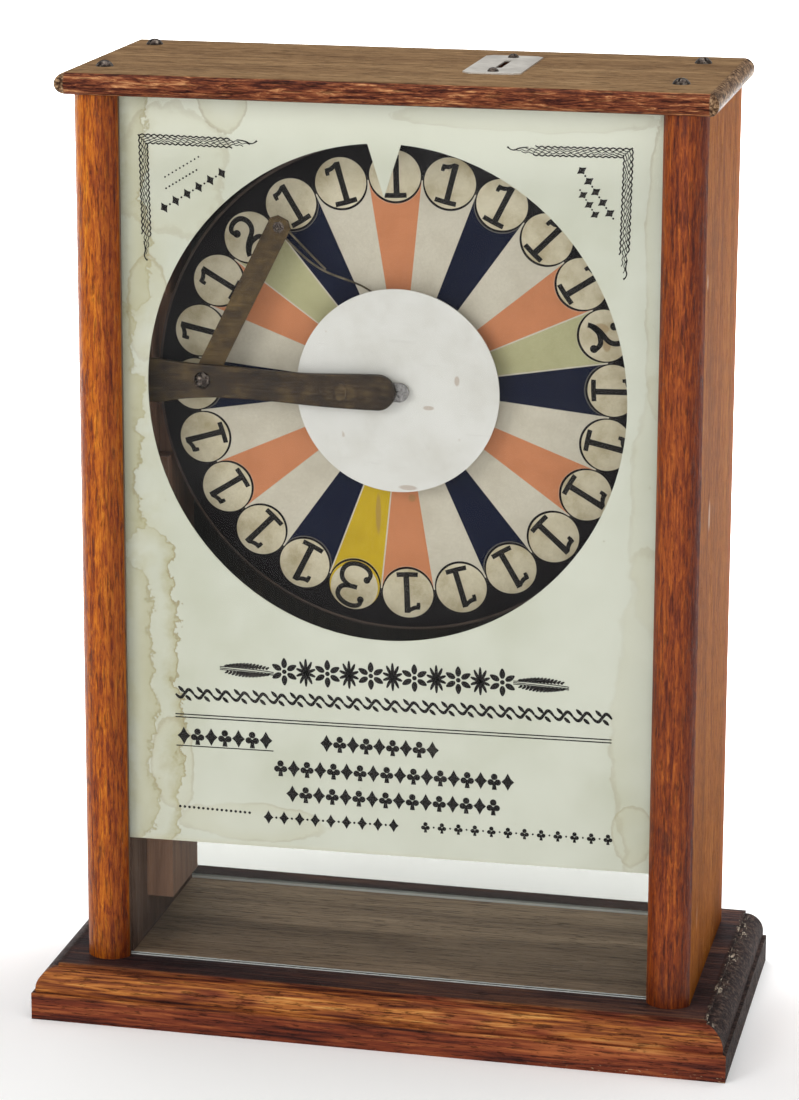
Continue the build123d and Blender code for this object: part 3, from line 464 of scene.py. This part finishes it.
card_x, card_z = axis_of(tree, "X"), axis_of(tree, "Z")
for lower, upper, wide, amount in (
    (0.078, 0.228, 0.029, 1.0), (0.078, 0.210, 0.016, 0.8),
    (0.225, 0.330, 0.011, 0.9), (0.330, 0.440, 0.016, 0.7),
):
    in_span = times(tree, rise(tree, card_z, lower - 0.012, lower + 0.008),
                    rise(tree, card_z, upper + 0.012, upper - 0.012))
    wet = plus(tree, times(tree, in_span, wide), sum_of(tree, "MULTIPLY_ADD", wander, 0.034, -0.017))
    past = minus(tree, minus(tree, card_x, card_low.x), wet)
    shore = times(tree, rise(tree, past, 0.0, -0.0006), rise(tree, past, -0.010, -0.0008))
    line = times(tree, rise(tree, past, 0.0004, -0.0002), rise(tree, past, -0.0022, -0.0006))
    line = times(tree, line, rise(tree, blotch, 0.38, 0.6, 0.15, 1.0))
    colour = lay(tree, times(tree, times(tree, shore, in_span), 0.62 * amount), colour,
                 tint(174, 168, 124))
    colour = lay(tree, times(tree, times(tree, line, in_span), 0.6 * amount), colour, tint(148, 134, 92))
damp = times(tree, rise(tree, card_x, card_low.x + 0.030, card_low.x + 0.004), rise(tree, wander, 0.38, 0.62))
colour = lay(tree, times(tree, damp, 0.5), colour, tint(184, 180, 140))
for place_x, place_z, wide, high, amount in (
    (-0.098, 0.392, 0.026, 0.030, 0.45), (-0.074, 0.424, 0.012, 0.014, 0.9),
    (-0.109, 0.330, 0.010, 0.024, 0.8), (-0.100, 0.118, 0.010, 0.024, 0.7),
    (-0.062, 0.092, 0.034, 0.009, 0.7), (0.121, 0.150, 0.019, 0.086, 0.5),
    (0.122, 0.250, 0.014, 0.060, 0.4), (0.121, 0.355, 0.008, 0.070, 0.6),
    (0.112, 0.100, 0.010, 0.014, 0.6), (0.060, 0.420, 0.060, 0.006, 0.35),
):
    colour = tide(tree, colour, place_x, place_z, wide, high, amount)
specks = rise(tree, cloud(tree, spot_in(tree, (210, 210, 210)), 1.0, 2.0, 0.5), 0.74, 0.80)
colour = lay(tree, times(tree, specks, 0.4), colour, tint(150, 138, 104))
margin = rise(tree, axis_of(tree, "Z"), card_low.z + 0.004, card_low.z)
colour = lay(tree, times(tree, margin, 0.3), colour, tint(206, 200, 168))
surface(tree, shader, colour, None, plus(tree, fibre, times(tree, blotch, 2.0)), 0.00005)
shader.inputs["Roughness"].default_value = 0.8
shader.inputs["Specular IOR Level"].default_value = 0.2
dress(sign_paper, "sign_card")

# ---------------------------------------------------------------- printed ornament on the card
# Black letterpress: a corner of wavy rules at each upper corner, feathers beside the headline, and
# plain rows of ornaments where the wording stood. The ink lies on the paper, a hair proud of it.
ink_lift = 0.00005
ink, tree, shader = fresh("black printing ink")
worn = cloud(tree, spot_in(tree, (900, 900, 900)), 1.0, 3.0, 0.6)
fade = cloud(tree, spot_in(tree, (24, 24, 24)), 1.0, 2.0, 0.5)
colour = tones(tree, mixed(tree, worn, 0.5, fade, 0.5),
               [(0.35, 22, 20, 19), (0.55, 32, 29, 28), (0.72, 70, 68, 62)])
surface(tree, shader, colour, None, worn, 0.00002)
shader.inputs["Roughness"].default_value = 0.7
shader.inputs["Specular IOR Level"].default_value = 0.15

pen_nib = bpy.data.curves.new("pen_nib", "CURVE")
pen_nib.dimensions = "3D"
nib = pen_nib.splines.new("POLY")
nib.points.add(1)
nib.points[0].co = (-0.5, 0, 0, 1)
nib.points[1].co = (0.5, 0, 0, 1)
pen = bpy.data.objects.new("pen", pen_nib)
bpy.context.scene.collection.objects.link(pen)


def stroke(points, widths, smooth=True):
    """One pen stroke on the flat: a line through or near points, as wide at each as widths says."""
    data = bpy.data.curves.new("stroke", "CURVE")
    data.dimensions = "3D"
    data.twist_mode = "Z_UP"
    data.resolution_u = 8 if smooth else 1
    data.bevel_mode = "OBJECT"
    data.bevel_object = pen
    line = data.splines.new("NURBS" if smooth else "POLY")
    line.points.add(len(points) - 1)
    for i, (px, py) in enumerate(points):
        line.points[i].co = (px, py, 0, 1)
        line.points[i].radius = widths[i] if isinstance(widths, (list, tuple)) else widths
    if smooth:
        line.order_u = 3
        line.use_endpoint_u = True
    made = bpy.data.objects.new("stroke", data)
    bpy.context.scene.collection.objects.link(made)
    return made


def shape(points):
    """A filled outline on the flat."""
    data = bpy.data.curves.new("shape", "CURVE")
    data.dimensions = "2D"
    data.fill_mode = "BOTH"
    line = data.splines.new("POLY")
    line.points.add(len(points) - 1)
    for i, (px, py) in enumerate(points):
        line.points[i].co = (px, py, 0, 1)
    line.use_cyclic_u = True
    made = bpy.data.objects.new("shape", data)
    bpy.context.scene.collection.objects.link(made)
    return made


def ring(x, y, radius, sides=14):
    """Points round a circle."""
    return [(x + radius * math.cos(2 * math.pi * i / sides), y + radius * math.sin(2 * math.pi * i / sides))
            for i in range(sides)]


def cut(name, marks):
    """Makes one flat mesh of several marks, drawn in millimetres on the flat."""
    bpy.ops.object.select_all(action="DESELECT")
    for mark in marks:
        mark.select_set(True)
    bpy.context.view_layer.objects.active = marks[0]
    bpy.ops.object.convert(target="MESH")
    bpy.ops.object.join()
    made = bpy.context.object
    made.name = name
    made.data.transform(Matrix.Scale(0.001, 4))
    return made


def stamp(pattern, x, y, size=1.0, turn=0.0):
    """A copy of a cut pattern, placed in millimetres, with its own mesh."""
    made = pattern.copy()
    made.data = pattern.data.copy()
    made.name = "print"
    made.data.transform(Matrix.Translation((x / 1000, y / 1000, 0)) @ Matrix.Rotation(turn, 4, "Z")
                        @ Matrix.Scale(size, 4))
    bpy.context.scene.collection.objects.link(made)
    return made


def press(name, prints, y, body, finish):
    """Stands the flat prints up to face the front at depth y, as one piece that rides on a body."""
    bpy.ops.object.select_all(action="DESELECT")
    for mark in prints:
        mark.select_set(True)
    bpy.context.view_layer.objects.active = prints[0]
    bpy.ops.object.join()
    made = bpy.context.object
    made.name = name
    made.data.transform(Matrix.Translation((0, y, 0)) @ Matrix.Rotation(math.pi / 2, 4, "X"))
    made.data.materials.clear()
    made.data.materials.append(finish)
    bpy.ops.object.mode_set(mode="EDIT")
    bpy.ops.mesh.select_all(action="SELECT")
    bpy.ops.mesh.remove_doubles(threshold=0.000002)
    bpy.ops.mesh.normals_make_consistent(inside=False)
    bpy.ops.object.mode_set(mode="OBJECT")
    if sum(face.normal.y * face.area for face in made.data.polygons) > 0:
        made.data.flip_normals()
    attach(made, body)
    return made


def wavy(start, end, count, swing, width):
    """A wavy rule between two points."""
    run = Vector(end) - Vector(start)
    across = Vector((-run.y, run.x)).normalized()
    points = [tuple(Vector(start) + run * (i / (2 * count)) + across * (swing if i % 2 else -swing))
              for i in range(2 * count + 1)]
    return stroke(points, width)


rule_swing = 0.52                                      # half the height of a wavy rule, in millimetres
marks = []
for corner_x, corner_z, arm_end, leg_end, inward in (
    (-112.6, 407.3, -62.0, 353.5, 1), (107.0, 408.8, 55.5, 354.5, -1),
):
    fall = inward * 0.010 * (arm_end - corner_x)
    for gap, width, short in (
        (0.3, 0.62, 9.0), (1.3, 0.40, 4.5), (2.15, 0.34, 0.0), (3.0, 0.40, 3.0), (4.0, 0.62, 8.0),
    ):
        cx = corner_x + inward * gap
        cz = corner_z - gap
        marks.append(wavy((cx, cz), (arm_end - inward * short, cz - fall), 15, rule_swing, width))
        marks.append(wavy((cx, cz), (cx + inward * 1.0, leg_end + short), 16, rule_swing, width))
    arm_curl = [(-6, 0.8), (-2, 0.4), (0, -0.9), (2.2, -0.4), (3.2, 0.7)]
    marks.append(stroke([(arm_end + inward * dx, corner_z - 1.9 + dz) for dx, dz in arm_curl],
                        [0.4, 0.7, 0.6, 0.4, 0.9]))
    leg_curl = [(-0.8, 6), (0.3, 2), (-0.8, 0), (0, -2.2), (0.9, -2.6)]
    marks.append(stroke([(corner_x + inward * (2.6 + dx), leg_end + dz) for dx, dz in leg_curl],
                        [0.4, 0.7, 0.6, 0.5, 0.9]))
corners = cut("corner_rules", marks)

marks = [stroke([(-12.6, 0.9), (0, 1.0), (12.6, -0.2)], 0.42), stroke([(-12.6, 0.2), (12.6, -0.9)], 0.42),
         stroke([(-12.6, -0.5), (0, -0.9), (12.6, -1.5)], 0.42)]
for i in range(13):
    lean = -9.6 + 1.6 * i
    full = 4.4 * math.cos(lean / 11.5 * 1.35)
    heavy = 0.7 + 0.22 * full
    marks.append(stroke([(lean - 0.7, 0.9), (lean, 0.9 + full * 0.45), (lean + 0.9, 0.8 + full * 0.55)],
                        [heavy, heavy, 0.5]))
    marks.append(stroke([(lean + 0.9, -0.9), (lean + 0.4, -1.0 - full * 0.4),
                         (lean - 0.7, -0.9 - full * 0.55)], [heavy, heavy, 0.5]))
feather = cut("feather", marks)

petals = []
for i in range(6):
    lean = math.pi / 3 * i
    petals.append(stroke([(reach * math.sin(lean), reach * math.cos(lean)) for reach in (1.7, 3.6, 6.4)],
                         [0.9, 4.6, 0.6]))
star = cut("star", petals + [shape(ring(0, 0, 1.1))])
fan = []
for i in range(5):
    lean = math.radians(36) * (i - 2)
    for up in (1, -1):
        fan.append(stroke([(0, 0), (3.0 * math.sin(lean), up * 3.4 * math.cos(lean)),
                           (4.6 * math.sin(lean), up * (6.9 * math.cos(lean) - 0.4))], [0.8, 2.3, 0.6]))
leaf = cut("leaf", fan)
vine = cut("vine", [
    stroke([(-4.4, -0.3), (-2.2, -2.8), (0, 0.2), (2.2, 3.0), (4.4, -0.3)], [0.9, 1.8, 1.2, 1.8, 0.9]),
    stroke([(-0.4, 0.8), (-1.8, 2.2), (-3.1, 3.5)], [0.8, 2.6, 0.4]),
    stroke([(0.4, -0.8), (1.8, -2.2), (3.1, -3.2)], [0.8, 2.6, 0.4]),
])
diamond = cut("diamond", [shape([(0, 4.3), (1.5, 1.5), (3.1, 0), (1.5, -1.5),
                                 (0, -4.3), (-1.5, -1.5), (-3.1, 0), (-1.5, 1.5)])])
trefoil = cut("trefoil", [
    shape(ring(0, 2.2, 1.6)), shape(ring(-1.7, -0.5, 1.55)), shape(ring(1.7, -0.5, 1.55)),
    stroke([(0, 0), (0, -4.2)], [1.1, 2.4], False),
])
dot = cut("dot", [shape(ring(0, 0, 0.75))])


def row(first, second, x0, z0, x1, z1, count, size):
    """A straight row of ornaments, two kinds in turn."""
    made = []
    slope = math.atan2(z1 - z0, x1 - x0)
    for i in range(count):
        share = (i + 0.5) / count
        px, pz = x0 + (x1 - x0) * share, z0 + (z1 - z0) * share
        made.append(stamp(second if i % 2 else first, px, pz, size, slope))
    return made


prints = [stamp(corners, 0, 0), stamp(feather, -65.0, 164.6), stamp(feather, 70.0, 167.4)]
for line in (
    (star, leaf, -52.5, 165.0, 57.5, 167.4, 11, 1.0),
    (vine, vine, -98.5, 151.4, 102.0, 154.0, 23, 0.98),
    (diamond, trefoil, -98.0, 131.4, -53.0, 132.0, 7, 0.98),
    (diamond, trefoil, -31.0, 132.6, 24.0, 133.3, 9, 0.95),
    (trefoil, diamond, -52.5, 119.4, 58.5, 120.9, 18, 0.95),
    (diamond, trefoil, -47.0, 107.4, 52.0, 108.7, 16, 0.95),
    (dot, dot, -98.0, 97.4, -63.0, 96.8, 16, 0.85),
    (diamond, dot, -57.0, 95.4, 5.0, 96.2, 17, 0.75),
    (trefoil, dot, 16.0, 96.6, 103.0, 97.6, 23, 0.62),
):
    prints += row(*line)
prints.append(cut("rules", [
    stroke([(-98.7, 141.6), (102.0, 144.2)], 0.55, False),
    stroke([(-98.7, 140.2), (102.0, 142.8)], 0.55, False),
    stroke([(-98.4, 126.6), (-52.7, 127.2)], 0.5, False),
]))
for line in (
    (dot, dot, -101.5, 388.0, -84.5, 398.5, 10, 0.55), (dot, dot, -101.0, 383.0, -85.5, 392.6, 10, 0.6),
    (diamond, dot, -102.5, 374.0, -73.5, 392.0, 11, 0.62), (diamond, dot, 84.0, 399.5, 99.5, 377.0, 10, 0.6),
    (dot, diamond, 83.5, 391.0, 91.5, 378.5, 6, 0.55),
):
    prints += row(*line)
press("sign_print", prints, card_low.y - ink_lift, "case", ink)

# ---------------------------------------------------------------- wheel, printed face
# Paper printed in flat colours and varnished: 24 coloured sectors, a black rim, and a cream circle
# with a black ring at the end of each sector. The colours are a little out of register.
face_low, face_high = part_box("wheel_face")
axle_x, axle_z = (face_low.x + face_high.x) / 2, (face_low.z + face_high.z) / 2
wheel_turn = math.radians(-2.0)
circle_ring, circle_radius = 0.0952, 0.0121
soft_edge = 0.00008
colour_shift = 0.0014                                  # how far the yellow is out of register
sectors = 24
step = 2 * math.pi / sectors
three_sector = 13                                      # the yellow sector with the 3
orange, navy, cream = (206, 136, 95), (12, 19, 44), (209, 203, 184)
green, yellow, black = (184, 182, 140), (202, 172, 40), (20, 16, 19)
sector_tints = {"O": orange, "W": cream, "B": navy, "G": green, "Y": yellow}
sector_order = "OWBWOGBWOWBWOYBWOWBWOGBW"

wheel_print, tree, shader = fresh("wheel print, five colours and black")
centred = put(tree, "SeparateXYZ", {0: spot_in(tree, (1, 1, 1), (-axle_x, 0, -axle_z))})
across = sum_of(tree, "POWER", sum_of(tree, "ABSOLUTE", centred.outputs["X"]), 2.0)
upright = sum_of(tree, "POWER", sum_of(tree, "ABSOLUTE", centred.outputs["Z"]), 2.0)
from_axle = sum_of(tree, "SQRT", plus(tree, across, upright))
angle = sum_of(tree, "ARCTAN2", centred.outputs["X"], centred.outputs["Z"])
count = sum_of(tree, "MULTIPLY_ADD", angle, 1 / step, sectors + 0.5 - wheel_turn / step)
in_sector = minus(tree, sum_of(tree, "FRACT", count), 0.5)
number = sum_of(tree, "MODULO", count, float(sectors))
sector_middle = plus(tree, sum_of(tree, "FLOOR", number), 0.5)
sector = tones(tree, sum_of(tree, "DIVIDE", sector_middle, float(sectors)),
               [(i / sectors, *sector_tints[letter]) for i, letter in enumerate(sector_order)], True)
mottle = cloud(tree, spot_in(tree, (60, 60, 60)), 1.0, 4.0, 0.65)
paper_grain = cloud(tree, spot_in(tree, (900, 900, 900)), 1.0, 3.0, 0.7)
from_joint = sum_of(tree, "ABSOLUTE", minus(tree, sum_of(tree, "ABSOLUTE", in_sector), 0.5))
off_line = times(tree, times(tree, from_joint, step), from_axle)
colour = lay(tree, rise(tree, off_line, 0.00040, 0.00022), sector, tint(*cream))
opening = sum_of(tree, "COSINE", times(tree, in_sector, step))


def from_circle(reach):
    """How far a point lies from the middle of its sector's circle, when that is at this reach."""
    leaning = sum_of(tree, "MULTIPLY_ADD", times(tree, from_axle, opening), -2 * reach, reach ** 2)
    return sum_of(tree, "SQRT", plus(tree, times(tree, from_axle, from_axle), leaning))


to_circle = from_circle(circle_ring)
black_rim = rise(tree, from_axle, circle_ring - 0.0010, circle_ring - 0.0008)
colour = lay(tree, black_rim, colour, tint(*black))
hub_side = rise(tree, from_axle, circle_ring + 0.004, circle_ring - 0.011)
halo = times(tree, rise(tree, to_circle, circle_radius + 0.00045, circle_radius + 0.0003), hub_side)
colour = lay(tree, times(tree, halo, 0.25), colour, tint(*cream))
on_ring = rise(tree, to_circle, circle_radius + soft_edge, circle_radius - soft_edge)
colour = lay(tree, on_ring, colour, tint(*black))
ring_inner = minus(tree, circle_radius - 0.00035, times(tree, hub_side, 0.0007))
in_circle = rise(tree, minus(tree, to_circle, ring_inner), soft_edge, -soft_edge)
number_paper = tones(tree, mottle, [(0.3, 222, 214, 188), (0.5, 212, 203, 174), (0.7, 190, 178, 144)])
colour = lay(tree, in_circle, colour, number_paper)
shifted = from_circle(circle_ring + colour_shift)
is_yellow = sum_of(tree, "COMPARE", number, three_sector + 0.5, 0.5)
crescent = times(tree, times(tree, in_circle, is_yellow), rise(tree, shifted, 0.0109, 0.0111))
colour = lay(tree, crescent, colour, tint(*yellow))
colour = lay(tree, rise(tree, mottle, 0.35, 0.75, 0.0, 0.16), colour, tint(150, 132, 98), "MULTIPLY")
colour = lay(tree, rise(tree, paper_grain, 0.3, 0.7, 0.0, 0.10), colour, tint(120, 104, 86), "MULTIPLY")
for place_x, place_z, wide, high in ((0.0925, 0.3170, 0.0022, 0.0040), (0.0900, 0.3240, 0.0042, 0.0026),
                                     (-0.0105, 0.2330, 0.0014, 0.0100), (0.0050, 0.2420, 0.0020, 0.0020)):
    reach = from_spot(tree, (place_x, 0, place_z), (wide, 0, high))
    mark = rise(tree, plus(tree, reach, times(tree, mottle, 0.8)), 1.45, 1.1)
    colour = lay(tree, times(tree, mark, 0.6), colour, tint(158, 128, 84))
surface(tree, shader, colour, rise(tree, mottle, 0.3, 0.7, 0.5, 0.66), plus(tree, paper_grain, mottle),
        0.00004, shine=0.08)
dress(wheel_print, "wheel_face")

# ---------------------------------------------------------------- wheel, numerals
# Bold black figures, one in each circle with its top towards the rim: a 3 and two 2s among 1s.
# They are drawn with a broad brush, as a sign writer's block figures.
one = cut("figure_one", [shape([
    (1.9, 9.1), (-0.3, 9.2), (-1.5, 8.3), (-3.1, 7.7), (-5.0, 7.6), (-5.3, 5.9), (-5.2, 4.5),
    (-3.7, 4.5), (-3.5, 5.7), (-2.0, 6.0), (-0.8, 6.7), (-0.75, 0.0), (-0.8, -7.1),
    (-4.6, -7.0), (-4.8, -9.1), (0.0, -9.2), (4.8, -9.0), (4.7, -6.9), (1.8, -7.0), (1.75, 0.0),
])])
two = cut("figure_two", [
    stroke([(-3.3, 5.2), (-4.6, 7.6), (-1.2, 9.9), (3.4, 9.2), (5.0, 5.2), (3.3, 1.2), (-1.6, -0.6),
            (-5.0, -3.0), (-6.2, -5.4)], [1.6, 2.0, 2.3, 2.4, 2.4, 2.2, 2.2, 2.2, 2.2]),
    stroke([(-5.2, -4.4), (-2.6, -1.8), (0.6, -1.6), (3.8, -2.4), (4.9, -5.2)], [1.6, 2.2, 2.3, 2.2, 1.9]),
    shape(ring(-2.9, 5.3, 1.75)), shape(ring(4.4, -5.6, 1.75)),
])
three = cut("figure_three", [
    stroke([(-4.4, 6.0), (-4.6, 8.3), (-1.0, 9.9), (3.6, 9.0), (6.6, 6.4), (5.9, 2.6), (2.6, 1.2),
            (-1.3, 1.2)], [1.6, 1.9, 2.1, 2.1, 2.1, 2.1, 2.0, 2.1]),
    stroke([(1.6, 1.2), (5.2, 0.4), (7.0, -3.4), (5.6, -7.6), (1.0, -9.4), (-4.0, -8.4), (-6.2, -5.4),
            (-4.9, -3.0)], [1.6, 2.0, 2.1, 2.1, 2.1, 2.1, 1.9, 1.6]),
    shape(ring(-4.0, 6.0, 1.5)), shape(ring(-4.6, -3.2, 1.5)),
])
numeral_lift = 0.00006
figure_at = {5: two, three_sector: three, 21: two}
figures = []
for i in range(sectors):
    lean = wheel_turn + step * i
    middle_x = axle_x + circle_ring * math.sin(lean)
    middle_z = axle_z + circle_ring * math.cos(lean)
    size = 1.05 + 0.02 * math.sin(5 * i)
    turn = -lean + 0.03 * math.sin(3.7 * i)
    figures.append(stamp(figure_at.get(i, one), middle_x * 1000, middle_z * 1000, size, turn))
press("wheel_numerals", figures, face_low.y - numeral_lift, "wheel", ink)

# ---------------------------------------------------------------- wheel, wooden disc
# A thin turned wooden disc behind the print, riveted to a brass hub. Its raw rim has darkened to a
# grey brown.
def plain_wood(name, along, offset, streak_share, low, middle, high, rough_low, rough_high):
    """Bare or stained wood of one tone, its figure running one way."""
    finish, tree, shader = fresh(name)
    streaks, fibres, flecks, pores = wood_figure(tree, along, offset)
    figure = mixed(tree, streaks, streak_share, fibres, 1 - streak_share)
    colour = tones(tree, figure, [(0.32, *low), (0.5, *middle), (0.68, *high)])
    surface(tree, shader, colour, rise(tree, streaks, 0.3, 0.7, rough_low, rough_high), fibres, 0.0002)
    return finish


dress(plain_wood("wheel disc, darkened wood", "X", 1.9, 0.6, (46, 36, 32), (74, 58, 50), (104, 86, 74),
                 0.6, 0.75), "wheel_disc")

# ---------------------------------------------------------------- white hub disc
# Sheet metal painted white, standing off the wheel over the ring of click pins. The paint is faintly
# scratched and has a few rust-brown marks.
white_paint, tree, shader = fresh("white painted sheet")
smudge = cloud(tree, spot_in(tree, (34, 34, 34), (4, 4, 4)), 1.0, 5.0, 0.65)
scratch = cloud(tree, spot_in(tree, (60, 60, 900), (0, 0, 0), (0, 0.6, 0)), 1.0, 2.0, 0.5)
scratch = rise(tree, scratch, 0.68, 0.74)
colour = tones(tree, smudge, [(0.3, 222, 222, 216), (0.5, 217, 217, 210), (0.72, 207, 206, 197)])
colour = lay(tree, times(tree, scratch, 0.18), colour, tint(186, 182, 176))
brown_specks = rise(tree, cloud(tree, spot_in(tree, (150, 150, 150), (7, 1, 3)), 1.0, 3.0, 0.6), 0.70, 0.76)
colour = lay(tree, times(tree, brown_specks, 0.45), colour, tint(168, 144, 116))
for place_x, place_z, wide, high in ((0.0050, 0.2490, 0.0050, 0.0014), (0.0270, 0.2990, 0.0016, 0.0030),
                                     (0.0140, 0.2860, 0.0030, 0.0012)):
    reach = from_spot(tree, (place_x, 0, place_z), (wide, 0, high))
    mark = rise(tree, plus(tree, reach, times(tree, smudge, 1.2)), 1.6, 1.2)
    colour = lay(tree, times(tree, mark, 0.55), colour, tint(158, 132, 108))
surface(tree, shader, colour, rise(tree, smudge, 0.3, 0.7, 0.42, 0.58), smudge, 0.00006)
dress(white_paint, "hub_disc")

# ---------------------------------------------------------------- bearing arm and click strip
# Brass bar and strip, sawn, filed and gone dull brown. The bar is hammered flat over the steel tongue
# behind it, which shows as one planished rivet, and its screw holds the strip's foot.
def dull_brass(name, low, middle, high, metal):
    """Tarnished brass with file marks along its length and brighter rubbed patches."""
    finish, tree, shader = fresh(name)
    file_marks = cloud(tree, spot_in(tree, (90, 1200, 900)), 1.0, 3.0, 0.6)
    tarnish = cloud(tree, spot_in(tree, (110, 110, 110)), 1.0, 5.0, 0.68)
    colour = tones(tree, mixed(tree, file_marks, 0.3, tarnish, 0.7),
                   [(0.36, *low), (0.5, *middle), (0.66, *high)])
    surface(tree, shader, colour, rise(tree, tarnish, 0.3, 0.7, 0.46, 0.62),
            plus(tree, file_marks, tarnish), 0.00010, metal, 0.25)
    return finish


arm_brass = dull_brass("arm brass", (28, 21, 14), (54, 42, 28), (92, 74, 46), 0.15)
strip_brass = dull_brass("strip brass", (46, 34, 18), (74, 57, 31), (106, 86, 49), 0.15)
dress(arm_brass, "front_arm")
dress(strip_brass, "click_strip")
dress(dull_brass("hammered rivet brass", (46, 36, 24), (80, 64, 42), (120, 98, 64), 0.2), "tongue_rivet")

# ---------------------------------------------------------------- turned brass and the click wire
# The hub riveted to the wheel, its ring of click pins, the washer, the collar and the rear bush are turned
# from brass rod. The click wire is thin brass wire, riveted to the end of the strip.
turned_brass = dull_brass("turned brass", (120, 94, 52), (160, 130, 76), (190, 160, 100), 0.85)
dress(turned_brass, "wheel_hub", "click_pins", "axle_collar", "rear_bush", "front_washer")
dress(dull_brass("wire brass", (64, 58, 46), (96, 88, 70), (136, 126, 104), 0.5), "click_wire")

# ---------------------------------------------------------------- steel axle, pins and rivets
# Drawn steel rod and bar, gone dull with a few spots of rust: the axle and the tongue that carries it,
# the pins the coin strikes, the hub's rivets and the strip's nut.
steel, tree, shader = fresh("drawn steel, dulled")
drawn = cloud(tree, spot_in(tree, (700, 60, 700)), 1.0, 3.0, 0.6)
spots_of_rust = rise(tree, cloud(tree, spot_in(tree, (300, 300, 300)), 1.0, 3.0, 0.6), 0.60, 0.72)
colour = tones(tree, drawn, [(0.3, 92, 90, 88), (0.5, 126, 124, 122), (0.7, 160, 158, 156)])
colour = lay(tree, times(tree, spots_of_rust, 0.5), colour, tint(96, 66, 48))
surface(tree, shader, colour, rise(tree, drawn, 0.3, 0.7, 0.26, 0.42), drawn, 0.00004, 0.85)
dress(steel, "axle", "arm_tongue", "drive_pins", "hub_rivets", "strip_nut")

# ---------------------------------------------------------------- back panel
# A thin softwood board above the rear pane, near-black on both faces: painted shade for the dark inside of
# the closed case, so that nothing shows behind the wheel.
dress(plain_wood("thin board, near-black as painted shade", "Z", 4.4, 0.6, (24, 19, 18), (38, 31, 28), (58, 47, 40),
                 0.55, 0.72), "back_panel")

# ---------------------------------------------------------------- cleats
# Two bare softwood posts screwed inside the sides. They carry the strap that bears the axle's rear end,
# and have browned with age.
dress(plain_wood("bare softwood, browned", "Z", 6.2, 0.65, (100, 70, 54), (134, 100, 78), (166, 128, 100),
                 0.62, 0.78), "left_cleat", "right_cleat")

# ---------------------------------------------------------------- finishing
# The patterns the marks were stamped from are cleared away.
for pattern in (corners, feather, star, leaf, vine, diamond, trefoil, dot, one, two, three, pen):
    bpy.data.objects.remove(pattern)
